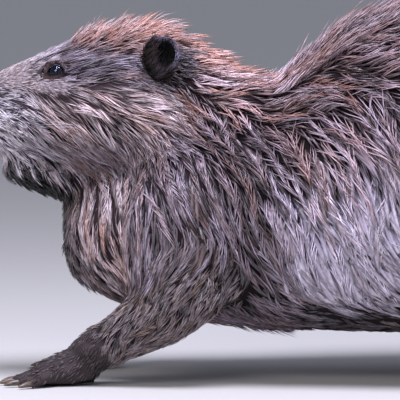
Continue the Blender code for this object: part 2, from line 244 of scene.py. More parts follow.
def mesh_from(name: str, points: Array, triangles: Array) -> Mesh:
    """Makes a smooth-shaded mesh from arrays.

    Args:
        name: Name of the mesh.
        points: Vertex places, one row each.
        triangles: Three vertex indices in each row, facing out.

    Returns:
        The mesh.
    """
    mesh = bpy.data.meshes.new(name)
    mesh.vertices.add(len(points))
    mesh.vertices.foreach_set("co", points.astype(np.float32).ravel())
    mesh.loops.add(triangles.size)
    mesh.loops.foreach_set("vertex_index", triangles.astype(np.int32).ravel())
    mesh.polygons.add(len(triangles))
    mesh.polygons.foreach_set("loop_start", np.arange(0, triangles.size, 3, dtype=np.int32))
    mesh.update(calc_edges=True)
    mesh.shade_smooth()
    return mesh


def read(items: bpy.types.bpy_prop_collection, name: str, width: int, kind: type = float) -> Array:
    """Reads a property of all vertices, edges, triangles or corners.

    Args:
        items: What to read.
        name: Name of the property.
        width: How many numbers it has.
        kind: Type of the numbers.

    Returns:
        One row for each item.
    """
    values = np.zeros(len(items) * width, kind)
    items.foreach_get(name, values)
    return values.reshape(-1, width)


def read_points(mesh: Mesh) -> Array:
    """A mesh's vertex places."""
    return read(mesh.vertices, "co", 3)


def read_normals(mesh: Mesh) -> Array:
    """A mesh's vertex normals."""
    return read(mesh.vertices, "normal", 3)


def read_edges(mesh: Mesh) -> Array:
    """The two vertices of each edge."""
    return read(mesh.edges, "vertices", 2, np.int64)


def write_points(mesh: Mesh, points: Array) -> None:
    """Moves a mesh's vertices."""
    mesh.vertices.foreach_set("co", points.astype(np.float32).ravel())
    mesh.update()


def lift_to(points: Array, level: float = 0.0) -> Array:
    """Keeps points from lying under a level: changes them in place and returns them."""
    points[..., 2] = np.maximum(points[..., 2], level)
    return points


def set_colours(mesh: Mesh, name: str, colours: Array) -> None:
    """Stores a linear colour for each vertex.

    Args:
        mesh: The mesh.
        name: Name to store them under.
        colours: Red, green and blue, one row for each vertex.
    """
    layer = mesh.attributes.new(name, "FLOAT_COLOR", "POINT")
    full = np.ones((len(mesh.vertices), 4), np.float32)
    full[:, :3] = colours
    layer.data.foreach_set("color", full.ravel())


def neighbour_means(points: Array, edges: Array) -> Array:
    """The mean place of each point's neighbours.

    Args:
        points: Vertex places.
        edges: Pairs of vertices.

    Returns:
        One place for each point.
    """
    total = np.zeros_like(points)
    for axis in range(3):
        for here, there in ((0, 1), (1, 0)):
            total[:, axis] += np.bincount(edges[:, here], points[edges[:, there], axis], len(points))
    return total / np.bincount(edges.ravel(), minlength=len(points))[:, None]


def relax(points: Array, edges: Array, rounds: int, amount: Array) -> Array:
    """Draws each point towards the mean of its neighbours, and every second time back, so nothing shrinks.

    Args:
        points: Vertex places.
        edges: Pairs of vertices.
        rounds: How many times.
        amount: Share of the way for each point.

    Returns:
        The new places.
    """
    steps = (1.0, -1.04)
    for turn in range(rounds):
        points = points + (neighbour_means(points, edges) - points) * (amount * steps[turn % 2])[:, None]
    return points


def membrane(points: Array, edges: Array, inside: Array, rounds: int) -> Array:
    """Stretches the chosen points smoothly between those round them, which closes a pit.

    Args:
        points: Vertex places.
        edges: Pairs of vertices.
        inside: Which points may move.
        rounds: How many times each moves to the mean of its neighbours.

    Returns:
        The new places.
    """
    near = edges[inside[edges].any(axis=1)]
    used, local = np.unique(near, return_inverse=True)
    local = local.reshape(near.shape)
    patch, free = points[used], inside[used]
    for _ in range(rounds):
        patch[free] = neighbour_means(patch, local)[free]
    points = points.copy()
    points[used] = patch
    return points


def unwrap(mesh: Mesh) -> None:
    """Unwraps a skin by its own shape.

    Args:
        mesh: The skin, which gets the unwrap.
    """
    mesh.uv_layers.new(name=BAKE_MAP)
    item = linked("unwrapped", mesh)
    bpy.context.view_layer.objects.active = item
    item.select_set(True)
    bpy.ops.object.mode_set(mode="EDIT")
    bpy.ops.mesh.select_all(action="SELECT")
    bpy.ops.uv.smart_project(angle_limit=math.radians(66), island_margin=0.001)
    bpy.ops.object.mode_set(mode="OBJECT")
    bpy.data.objects.remove(item)


def loop_faces(rows: int, segments: int, closed: bool = True) -> Array:
    """Triangles between rings of points, and from the last ring back to the first where closed.

    Args:
        rows: How many rings.
        segments: How many points each has.
        closed: Whether the last ring joins the first.

    Returns:
        Three indices in each row.
    """
    faces = []
    for row in range(rows if closed else rows - 1):
        for k in range(segments):
            a, b = row * segments + k, row * segments + (k + 1) % segments
            c, d = (a + segments) % (rows * segments), (b + segments) % (rows * segments)
            faces += [(a, b, c), (b, d, c)]
    return np.array(faces)


def ring_faces(rows: int, segments: int) -> Array:
    """Triangles of rings closed by a first and a last point, which follow the rings' points.

    Args:
        rows: How many rings.
        segments: How many points each has.

    Returns:
        Three indices in each row.
    """
    first = rows * segments
    faces = [tuple(face) for face in loop_faces(rows, segments, closed=False)]
    for k in range(segments):
        after = (k + 1) % segments
        faces += [(first, after, k), (first + 1, first - segments + k, first - segments + after)]
    return np.array(faces)


def shell(name: str, points: Array, triangles: Array) -> Mesh:
    """Makes a closed smooth-shaded mesh with its faces turned outward.

    Args:
        name: Name of the mesh.
        points: Vertex places.
        triangles: Three vertex indices in each row, either way round.

    Returns:
        The mesh.
    """
    mesh = mesh_from(name, points, triangles)
    shape = bmesh.new()
    shape.from_mesh(mesh)
    bmesh.ops.recalc_face_normals(shape, faces=shape.faces)
    shape.to_mesh(mesh)
    shape.free()
    mesh.shade_smooth()
    return mesh


def evaluated(source: Object) -> Mesh:
    """Applies an object's modifiers.

    Args:
        source: The object, which is removed.

    Returns:
        The resulting mesh.
    """
    bpy.context.view_layer.update()
    graph = bpy.context.evaluated_depsgraph_get()
    mesh = bpy.data.meshes.new_from_object(source.evaluated_get(graph))
    bpy.data.objects.remove(source)
    return mesh


def remeshed(item: Object, voxel: float) -> Mesh:
    """One closed surface round an object.

    Args:
        item: The object, which is removed.
        voxel: Size of the surface's cells.

    Returns:
        The surface.
    """
    step = item.modifiers.new("one_surface", "REMESH")
    step.mode = "VOXEL"
    step.voxel_size = voxel
    return evaluated(item)


def merged_copy(node: str, growth: float) -> Mesh:
    """A copy of a solid node with its loose triangles joined, grown along its normals.

    Args:
        node: Name of the node.
        growth: Distance in metres.

    Returns:
        The copy.
    """
    shape = bmesh.new()
    shape.from_mesh(frame["nodes"][node].data)
    bmesh.ops.remove_doubles(shape, verts=shape.verts, dist=1e-6)
    shape.normal_update()
    moves = [vertex.normal * growth for vertex in shape.verts]
    for vertex, move in zip(shape.verts, moves):
        vertex.co += move
    mesh = bpy.data.meshes.new(node)
    shape.to_mesh(mesh)
    shape.free()
    return mesh


def node_centre(node: str) -> Array:
    """The middle of a solid node's box."""
    low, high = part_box(node)
    return np.array((low + high) / 2)


@dataclass(frozen=True)
class Capsule:
    """A stretch of limb: two ends and a reach round them."""

    start: Array
    end: Array
    reach: float

    def weight(self, points: Array) -> Array:
        """How far points belong to the stretch.

        Args:
            points: The points, with as many coordinates as the ends have.

        Returns:
            Shares, 1 near the stretch's line and 0 past its reach.
        """
        along = self.end - self.start
        share = np.clip((points - self.start) @ along / (along @ along), 0, 1)
        gap = lengths(points - self.start - share[:, None] * along)
        return 1 - smooth(self.reach * 0.75, self.reach, gap)


class Zone(IntEnum):
    """Stretches of the coat with a look of their own."""

    FLANK = 0
    BACK = 1
    LOW_FLANK = 2
    BELLY = 3
    NECK = 4
    LOW_NECK = 5
    SHOULDER = 6
    CHEST = 7
    NAPE = 8
    CROWN = 9
    TEMPLE = 10
    CHEEK = 11
    JOWL = 12
    MUZZLE = 13
    LIP = 14
    CHIN = 15
    EYE_RIM = 16
    TEAR_LINE = 17
    EAR_FOOT = 18
    LIMB = 19
    PAW = 20
    TAIL_ROOT = 21
    EAR_CUP = 22
    EAR_EDGE = 23
    EAR_FRINGE = 24


@dataclass(frozen=True)
class Look:
    """How the coat grows and is coloured in one zone.

    Lengths are in millimetres: of the hair, of the coat's depth, and of a lock's half width at its root.
    Slope is how far the hair falls for each unit back. Lift, fineness and gather scale how far the tips
    stand off, how thin the strands are and how tightly a lock closes. Warmth is the share of rusty hair.
    The shade colour of the roots is partly painted shade between the locks, and the pale lavender tips
    are partly painted sky sheen.
    """

    length: float
    depth: float
    spread: float
    slope: float
    lift: float
    fine: float
    gather: float
    warmth: float
    shade: str
    middle: str
    tip: str
    rusty: str


ZONES: dict[Zone, Look] = {
    Zone.FLANK: Look(48, 9.5, 7.5, 1.85, 0.85, 1, 1, 0.34, "#1a1015", "#96828f", "#e2d2ea", "#ad7e6f"),
    Zone.BACK: Look(42, 10, 6.5, 0.5, 0.9, 1.05, 0.95, 0.44, "#180e12", "#645059", "#ad9ca6", "#8c6154"),
    # The lower flank's pale lavender is its own wet tone and partly painted sky sheen on the plastered locks.
    Zone.LOW_FLANK: Look(54, 7.5, 6, 2.5, 0.5, 1, 0.92, 0.06, "#29222a", "#c3b8d1", "#efe7f7", "#b59f9f"),
    Zone.BELLY: Look(15, 6, 3.2, 0.4, 0.3, 1.1, 0.9, 0.1, "#2c2529", "#6f626c", "#8f838d", "#7c665f"),
    Zone.NECK: Look(34, 10, 5.5, 0.6, 0.75, 0.95, 0.9, 0.52, "#25171c", "#a98e97", "#e4d2dd", "#b88472"),
    Zone.LOW_NECK: Look(36, 8, 6, 1.8, 0.9, 1, 0.95, 0.32, "#160e13", "#5d4f59", "#a89aaa", "#7e5d55"),
    Zone.SHOULDER: Look(46, 7, 3.2, 3.4, 0.5, 0.95, 0.95, 0.34, "#2e2329", "#827484", "#c4b9cc", "#7d5a4a"),
    Zone.CHEST: Look(34, 6, 2.8, 3, 0.55, 0.85, 0.9, 0.38, "#3b2c32", "#ab979f", "#e0d2da", "#b78b7a"),
    Zone.NAPE: Look(29, 13, 4.5, 0.1, 0.65, 0.85, 0.75, 0.62, "#77595a", "#dcb3ad", "#e6cfd2", "#c8866c"),
    Zone.CROWN: Look(22, 10, 4.2, 0.05, 0.85, 0.75, 0.75, 0.66, "#483433", "#c0a0a0", "#d8c9d0", "#c28570"),
    Zone.TEMPLE: Look(30, 4.6, 2.6, 0.08, 0.9, 0.58, 0.6, 0.28, "#2a2029", "#8d8095", "#d2c7dd", "#a27d74"),
    Zone.CHEEK: Look(37, 5.2, 3, 0.5, 0.9, 0.58, 0.62, 0.42, "#504046", "#d3bdc5", "#f7ecf5", "#d3a38e"),
    Zone.JOWL: Look(39, 6.5, 3.6, 0.95, 0.92, 0.62, 0.66, 0.31, "#151014", "#5f525c", "#b4a7b4", "#856459"),
    Zone.MUZZLE: Look(6.5, 1.6, 1.2, 0.2, 0.9, 0.6, 0.2, 0.25, "#6a5f67", "#a79aa1", "#d3c7d0", "#b99c92"),
    Zone.LIP: Look(13, 3, 2.2, 0.6, 1, 0.6, 0.5, 0.08, "#554b55", "#d3cbda", "#fdf8ff", "#c9b0aa"),
    # The chin's near-black is its own dark fur with painted shade under the jaw.
    Zone.CHIN: Look(17, 5, 5, 1, 1, 0.8, 0.8, 0.1, "#010101", "#070606", "#282323", "#211916"),
    # The eye rim's brown is the fur's own dark tone, partly painted shade under the brow.
    Zone.EYE_RIM: Look(5, 1.3, 1, 0.1, 0.9, 0.6, 0.2, 0.3, "#1f1719", "#54454a", "#8f7f86", "#765c54"),
    Zone.TEAR_LINE: Look(3.5, 1, 0.6, 0.1, 0.8, 0.6, 0.2, 0.2, "#050303", "#17100f", "#3f322f", "#33241e"),
    Zone.EAR_FOOT: Look(17, 6, 3.5, 0.9, 0.95, 0.65, 0.7, 0.2, "#040303", "#241e22", "#837786", "#4e3b34"),
    Zone.LIMB: Look(17, 4.5, 3, 1.5, 0.4, 0.75, 0.55, 0.3, "#2c2326", "#75676b", "#a4989c", "#7c6255"),
    Zone.PAW: Look(6.5, 1.6, 2, 1, 0.9, 0.75, 0.5, 0.2, "#171213", "#4d4346", "#72666a", "#584840"),
    Zone.TAIL_ROOT: Look(22, 6, 6, 0.3, 0.75, 1, 0.95, 0.5, "#0f0a0b", "#57454a", "#998489", "#73503f"),
    # The cup's black is the ear's own dark hair with painted shade in its hollow; the edge's pale tips are
    # painted light on the rim.
    Zone.EAR_CUP: Look(4.5, 0.3, 1.5, 0, 1, 0.6, 0.3, 0.1, "#010101", "#030303", "#0d0c10", "#070606"),
    Zone.EAR_EDGE: Look(4.5, 0.3, 1.2, 0, 1, 0.6, 0.2, 0.15, "#0f0d13", "#3d3846", "#8f89a2", "#564741"),
    Zone.EAR_FRINGE: Look(11, 0.6, 1.8, 0, 1, 0.6, 0.5, 0.3, "#020202", "#0f0c0d", "#38313a", "#3d2c25"),
}


@dataclass(frozen=True)
class Landmarks:
    """Places on the frame that everything else is set out from, on the left side with Y turned positive."""

    eye: Array
    ear: Array
    ear_half: Array
    forearm: Capsule
    shank: Capsule
    forepaw: Capsule
    hind_foot: Capsule

    @property
    def ball(self) -> Array:
        """Middle of the eyeball as it shows in the skin, a little behind that of its solid."""
        return self.eye + [0.0026, 0.0005, 0.0]

    @classmethod
    def from_frame(cls) -> "Landmarks":
        """The places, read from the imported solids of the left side."""
        flip = np.array([1.0, -1.0, 1.0])
        low, high = 0, 1
        fore = np.array(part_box("forearm_left"))
        shank = np.array(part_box("shank_left"))
        paw = np.array(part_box("forepaw_left"))
        ear = np.array(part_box("ear_left"))
        foot = np.array(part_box("hind_foot_left"))
        shank_y = -node_centre("shank_left")[1]
        wrist = np.array([paw[high, 0] - 0.012, -node_centre("forepaw_left")[1], 0.018])
        elbow = np.array([fore[high, 0] - 0.025, -fore[low, 1] - 0.026, fore[high, 2] - 0.022])
        heel = np.array([foot[high, 0] - 0.020, shank_y, 0.030])
        knee = np.array([shank[low, 0] + 0.030, shank_y, shank[high, 2] - 0.025])
        return cls(
            eye=node_centre("eye_left") * flip,
            ear=node_centre("ear_left") * flip,
            ear_half=(ear[high] - ear[low]) / 2,
            forearm=Capsule(elbow, wrist, 0.040),
            shank=Capsule(knee, heel, 0.044),
            forepaw=Capsule(wrist, wrist + [-0.05, 0.0, -0.01], 0.030),
            hind_foot=Capsule(heel, heel + [-0.12, 0.0, -0.015], 0.045),
        )


@dataclass(frozen=True)
class ZoneBounds:
    """Where a zone lies, in metres behind the eye and above the floor. Each edge is a soft ramp."""

    zone: Zone
    back: Pair | None = None
    height: Pair | None = None
    front: Pair | None = None


# Each zone lies over those before it.
TRUNK_BOUNDS = (
    ZoneBounds(Zone.NECK, (0.165, 0.13), (0.178, 0.192)),
    ZoneBounds(Zone.LOW_NECK, (0.165, 0.13), (0.192, 0.178)),
    ZoneBounds(Zone.SHOULDER, (0.14, 0.09), (0.172, 0.143)),
    ZoneBounds(Zone.CHEST, (0.070, 0.040), (0.162, 0.145)),
    ZoneBounds(Zone.NAPE, (0.15, 0.12), (0.208, 0.224), front=(0.07, 0.09)),
    ZoneBounds(Zone.JOWL, (0.092, 0.062), (0.142, 0.162)),
    ZoneBounds(Zone.CHEEK, (0.085, 0.070), (0.175, 0.191)),
    ZoneBounds(Zone.TEMPLE, (0.075, 0.060), (0.203, 0.212)),
    ZoneBounds(Zone.CROWN, (0.095, 0.075), (0.222, 0.234), front=(-0.004, 0.016)),
    ZoneBounds(Zone.LIP, (0.000, -0.034), (0.146, 0.154)),
    ZoneBounds(Zone.MUZZLE, (0.006, -0.024), (0.196, 0.209)),
    # The chin's colours carry painted shade under the jaw.
    ZoneBounds(Zone.CHIN, (0.024, 0.006), (0.156, 0.148)),
)


@dataclass
class CoatPlan:
    """Where each zone lies, and what the coat does at any point of the skin."""

    marks: Landmarks
    eye_shape: tuple[float, float, float] = (1.25, 1.0, 1.0)
    eye_clear: float = 0.0052
    ear_clear: float = 0.74
    tear: Capsule = Capsule(np.array([-0.0050, -0.0006]), np.array([-0.0115, -0.0034]), 0.0024)

    def weights(self, points: Array, normals: Array) -> Array:
        """The share that each zone has in points of the skin.

        Args:
            points: Places on the skin.
            normals: Outward directions there.

        Returns:
            One row for each point and one column for each zone, each row adding up to one.
        """
        marks, mirrored = self.marks, mirror(points)
        back, height, top = points[:, 0] - marks.eye[0], points[:, 2], normals[:, 2]
        shares = np.zeros((len(points), len(Zone)))
        shares[:, Zone.FLANK] = 1

        def lay(zone: Zone, mask: Array) -> None:
            """Lays one zone over those before it."""
            shares[:] *= (1 - mask)[:, None]
            shares[:, zone] += mask

        lay(Zone.BACK, smooth(0.25, 0.75, top) * smooth(0.13, 0.17, back))
        under_line = within((0.028, -0.028), height - self.flank_line(back))
        lay(Zone.LOW_FLANK, under_line * smooth(0.11, 0.17, back))
        lay(Zone.BELLY, smooth(0.15, 0.90, -top) * within((0.10, 0.07), height))
        for bounds in TRUNK_BOUNDS:
            front = within(bounds.front, back)
            lay(bounds.zone, within(bounds.back, back) * front * within(bounds.height, height))
        lay(Zone.MUZZLE, 1 - smooth(0.65, 1.25, self.under_eye(back, height)))
        # The brown rim is set forward and up, under the brow, where its brown is partly painted shade.
        eye_gap = (mirrored - marks.ball - [-0.0026, 0.0, 0.0024]) / self.eye_shape
        lay(Zone.EYE_RIM, 1 - smooth(0.0060, 0.0096, lengths(eye_gap)))
        on_face = np.abs(points[:, 1]) > 0.018
        lay(Zone.TEAR_LINE, self.tear.weight((points - marks.ball)[:, [0, 2]]) * on_face)
        ear_gap = lengths((mirrored - marks.ear - [0.003, 0, -0.004])[:, [0, 2]])
        lay(Zone.EAR_FOOT, 1 - smooth(0.013, 0.020, ear_gap))
        lay(Zone.TAIL_ROOT, smooth(0.60, 0.64, back))
        lay(Zone.LIMB, np.maximum(marks.forearm.weight(mirrored), marks.shank.weight(mirrored)))
        lay(Zone.PAW, np.maximum(marks.forepaw.weight(mirrored), marks.hind_foot.weight(mirrored)))
        return shares

    @staticmethod
    def flank_line(back: Array) -> Array:
        """Height of the pale lower flank's wavy edge, which rises behind the shoulder and then falls."""
        line = 0.142 + 0.14 * np.clip(back - 0.13, 0, 0.13) - 0.26 * np.clip(back - 0.27, 0, 0.22)
        return line + (0.006 * np.sin(back * 62) + 0.004 * np.sin(back * 139 + 1))

    def under_eye(self, back: Array, height: Array) -> Array:
        """How far points lie from the patch of short pale hair under the eye, in its own half sizes."""
        gap = np.stack([back + 0.001, np.zeros(len(back)), height - self.marks.eye[2] + 0.0092], axis=1)
        return lengths(gap / [0.018, 1.0, 0.0058])

    def trait(self, shares: Array, name: str) -> Array:
        """Blends one number of the zones' looks by their shares."""
        return shares @ np.array([getattr(ZONES[zone], name) for zone in Zone])

    def size(self, shares: Array, name: str) -> Array:
        """Blends one length of the zones' looks, in metres."""
        return self.trait(shares, name) / 1000

    def colour(self, shares: Array, name: str) -> Array:
        """Blends one colour of the zones' looks by their shares."""
        return shares @ np.array([linear(getattr(ZONES[zone], name)) for zone in Zone])

    def fine(self, points: Array) -> Array:
        """How far points lie where the skin keeps the solids' form: the feet and the flat of the tail."""
        return np.maximum(self.tail(points), self.feet(points, 0.030, 0.034))

    def bare(self, points: Array) -> Array:
        """How far points lie on bare skin: the soles, the hind toes and the flat of the tail."""
        return np.maximum(self.tail(points), self.feet(points, 0.0065, 0.0120))

    def tail(self, points: Array) -> Array:
        """How far points lie on the flat of the tail."""
        return smooth(0.700, 0.712, points[:, 0] - self.marks.eye[0])

    def feet(self, points: Array, fore: float, hind: float) -> Array:
        """Which points lie low on the feet.

        Args:
            points: Places on the skin.
            fore: Height under which they are to lie on the forepaws.
            hind: The same for the hind feet.

        Returns:
            One for each such point, zero for the others.
        """
        mirrored, least = mirror(points), 0.2
        paw = (points[:, 2] < fore) & (self.marks.forepaw.weight(mirrored) > least)
        paw &= points[:, 0] < self.marks.forepaw.start[0] + 0.004
        foot = (points[:, 2] < hind) & (self.marks.hind_foot.weight(mirrored) > least)
        return (paw | foot).astype(float)

    def clear(self, points: Array) -> Array:
        """Where no hair may lie: on the ear and on the eye.

        Args:
            points: Places on or over the skin.

        Returns:
            True for each point that is kept clear.
        """
        mirrored = mirror(points)
        ear_middle = self.marks.ear + [0.0035, 0.0, 0.0050]
        ear = lengths((mirrored - ear_middle) / self.marks.ear_half) < self.ear_clear
        eye = lengths((mirrored - self.marks.ball) / self.eye_shape) < self.eye_clear
        return ear | eye

    def heading(self, points: Array, normals: Array, shares: Array) -> Array:
        """The way the hair points, along the skin.

        Args:
            points: Places on the skin.
            normals: Outward directions there.
            shares: Zone shares there.

        Returns:
            Unit vectors that lie in the skin.
        """
        slope = self.trait(shares, "slope")
        side = np.sqrt(np.clip(1 - normals[:, 2] ** 2, 0, 1))
        way = np.stack([np.ones(len(points)), np.zeros(len(points)), -slope * side], axis=1)
        limb = (shares[:, Zone.LIMB] + shares[:, Zone.PAW])[:, None]
        fore = points[:, 0] < self.marks.shank.start[0] - 0.10
        down = np.where(fore[:, None], np.array([-0.7, 0, -1.0]), np.array([0.5, 0, -1.0]))
        way = unit(way) * (1 - limb) + unit(down) * limb
        # The lie wanders by some ten degrees over stretches of 5 to 9 cm along the body.
        drift = 0.16 * np.sin(points @ np.array([71.0, 40.0, 95.0]))
        drift += 0.12 * np.sin(points @ np.array([-120.0, 60.0, 75.0]))
        return laid(way + np.cross(normals, way) * drift[:, None], normals)


@dataclass(frozen=True)
class FurFinish:
    """Wet guard hair: water joins the hairs of a lock, which takes a clear sheen. Its markings darken the
    roots with painted shade between the locks.
    """

    name: str
    roughness: float
    coat: float
    variation: float
    shine: float = 0.6
    grain_mm: float = 50 / 21

    def build(self) -> Material:
        """The material, with its colour from the stored markings."""
        made, add, shader, spot = new_material(self.name)
        marking = add("ShaderNodeAttribute", {"attribute_name": MARKING})
        lock = add("ShaderNodeAttribute", {"attribute_name": LOCK})
        along, tone, across = add("ShaderNodeSeparateColor", links={"Color": lock}).outputs
        # Hairs differ in tone over two to three millimetres.
        grain = add("ShaderNodeTexNoise", {}, {"Scale": per_metre(self.grain_mm)}, {"Vector": spot})
        low, high = 1 - self.variation, 1 + self.variation
        span = {"From Min": 0.3, "From Max": 0.7, "To Min": low, "To Max": high}
        uneven = add("ShaderNodeMapRange", {}, span, {"Value": grain})
        varied = add("ShaderNodeMath", MULTIPLY, {}, {0: uneven, 1: tone})
        colour = add("ShaderNodeVectorMath", SCALE, links={0: marking, "Scale": varied})
        # Single hairs run along each strand, about twenty side by side.
        beside = add("ShaderNodeMath", MULTIPLY, {1: 22.0}, {0: across})
        onward = add("ShaderNodeMath", MULTIPLY, {1: 2.0}, {0: along})
        strand_spot = add("ShaderNodeCombineXYZ", links={"X": beside, "Y": onward, "Z": tone})
        hairs = add("ShaderNodeTexNoise", {}, {"Scale": 1.0, "Detail": 1.0}, {"Vector": strand_spot})
        bump = add("ShaderNodeBump", {}, {"Strength": 0.5, "Distance": 0.0004}, {"Height": hairs})
        gloss = {"Roughness": self.roughness, "Specular IOR Level": self.shine}
        film = {"Coat Weight": self.coat, "Coat Roughness": 0.22}
        fit(shader, gloss | film, {"Base Color": colour, "Normal": bump})
        return made


@dataclass(frozen=True)
class SkinFinish:
    """Leathery skin, dark and creased: bare on feet, tail, nose and lids, and the ground under the fur."""

    name: str
    roughness: float
    cell_mm: float
    bump_mm: float
    coat: float = 0.0
    under_fur: bool = False
    shine: float = 0.4

    def build(self) -> Material:
        """The material, with its colour from the stored markings and its creases from cells and noise."""
        made, add, shader, spot = new_material(self.name)
        marking = add("ShaderNodeAttribute", {"attribute_name": MARKING})
        to_edge, cells = {"feature": "DISTANCE_TO_EDGE"}, {"Scale": per_metre(self.cell_mm)}
        cell = add("ShaderNodeTexVoronoi", to_edge, cells, {"Vector": spot})
        crease = add("ShaderNodeMapRange", {}, {"From Max": 0.18, "To Min": 0.72}, {"Value": cell})
        # Its tone drifts over four cells.
        wide = {"Scale": per_metre(4 * self.cell_mm), "Detail": 4.0}
        drift = add("ShaderNodeTexNoise", {}, wide, {"Vector": spot})
        span = {"From Min": 0.35, "From Max": 0.65, "To Min": 0.75, "To Max": 1.2}
        shade = add("ShaderNodeMapRange", {}, span, {"Value": drift})
        feeds = {}
        if self.under_fur:
            # Where the lock value is low the skin lies under fur, so it has no creases and no gloss.
            lock = add("ShaderNodeAttribute", {"attribute_name": LOCK}).outputs["Fac"]
            shown = add("ShaderNodeMapRange", {}, {"From Min": 0.6}, {"Value": lock})
            crease = add("ShaderNodeMapRange", {}, {"To Min": 1.0}, {"Value": shown, "To Max": crease})
            dull = {"To Min": 0.95, "To Max": self.roughness}
            feeds["Roughness"] = add("ShaderNodeMapRange", {}, dull, {"Value": lock})
        # Darker along the cells' edges: painted shade in the creases, times a drift of tone.
        both = add("ShaderNodeMath", MULTIPLY, links={0: crease, 1: shade})
        feeds["Base Color"] = add("ShaderNodeVectorMath", SCALE, links={0: marking, "Scale": both})
        depth = {"Strength": 0.6, "Distance": self.bump_mm / 1000}
        feeds["Normal"] = add("ShaderNodeBump", {}, depth, {"Height": crease})
        gloss = {"Roughness": self.roughness, "Specular IOR Level": self.shine}
        fit(shader, gloss | {"Coat Weight": self.coat, "Coat Roughness": 0.15}, feeds)
        return made


@dataclass(frozen=True)
class HornFinish:
    """Horn of the claws: dark brown streaked with paler brown, with fine growth lines and a dull polish."""

    name: str = "claw_horn"
    line_mm: float = 10 / 9
    line_length_mm: float = 50 / 3

    def build(self) -> Material:
        """The material, with its streaks from noise drawn out along the claw."""
        made, add, shader, spot = new_material(self.name)
        # Growth lines about a millimetre apart run along the claw, coarser than life so that they show.
        across = per_metre(self.line_mm)
        stretch = {"Scale": (per_metre(self.line_length_mm), across, across)}
        stretched = add("ShaderNodeMapping", {}, stretch, {"Vector": spot})
        streaks = add("ShaderNodeTexNoise", {}, {"Scale": 1.0, "Detail": 3.0}, {"Vector": stretched})
        ramp = add("ShaderNodeValToRGB", links={"Fac": streaks})
        for stop, position, colour in zip(ramp.color_ramp.elements, (0.3, 0.75), ("#2b221d", "#77655a")):
            stop.position, stop.color = position, rgba(colour)
        bump = add("ShaderNodeBump", {}, {"Strength": 0.4, "Distance": 0.0002}, {"Height": streaks})
        fit(shader, {"Roughness": 0.34}, {"Base Color": ramp, "Normal": bump})
        return made


@dataclass(frozen=True)
class EyeFinish:
    """The wet ball of the eye: a near-black pupil in a dark brown iris, colour from the stored markings."""

    name: str = "eye_iris"
    fibre_mm: float = 5 / 13

    def build(self) -> Material:
        """The material of the ball."""
        made, add, shader, spot = new_material(self.name)
        marking = add("ShaderNodeAttribute", {"attribute_name": MARKING})
        # Fibres of the iris, a few tenths of a millimetre apart.
        fibres = add("ShaderNodeTexNoise", {}, {"Scale": per_metre(self.fibre_mm)}, {"Vector": spot})
        tone = add("ShaderNodeMapRange", {}, {"To Min": 0.6, "To Max": 1.4}, {"Value": fibres})
        colour = add("ShaderNodeVectorMath", SCALE, links={0: marking, "Scale": tone})
        # The wet front over the ball carries the shine.
        fit(shader, {"Roughness": 0.3, "Specular IOR Level": 0.05}, {"Base Color": colour})
        return made


@dataclass(frozen=True)
class CorneaFinish:
    """The clear, wet front of the eye, which carries its bright reflection of the sky."""

    name: str = "eye_cornea"
    film_mm: float = 10 / 9

    def build(self) -> Material:
        """The material, clear with a tear film of barely uneven gloss."""
        made, add, shader, spot = new_material(self.name)
        film = add("ShaderNodeTexNoise", {}, {"Scale": per_metre(self.film_mm)}, {"Vector": spot})
        gloss = add("ShaderNodeMapRange", {}, {"To Min": 0.01, "To Max": 0.05}, {"Value": film})
        clear = {"Base Color": rgba("#f6f8fc"), "Transmission Weight": 1.0, "IOR": 1.38}
        fit(shader, clear | {"Specular Tint": rgba("#bfc4f4")}, {"Roughness": gloss})
        return made


@dataclass(frozen=True)
class Patch:
    """A stretch of skin drawn smooth between its edges, set out back and up from the eye."""

    middle: Pair
    half: Pair
    rounds: int


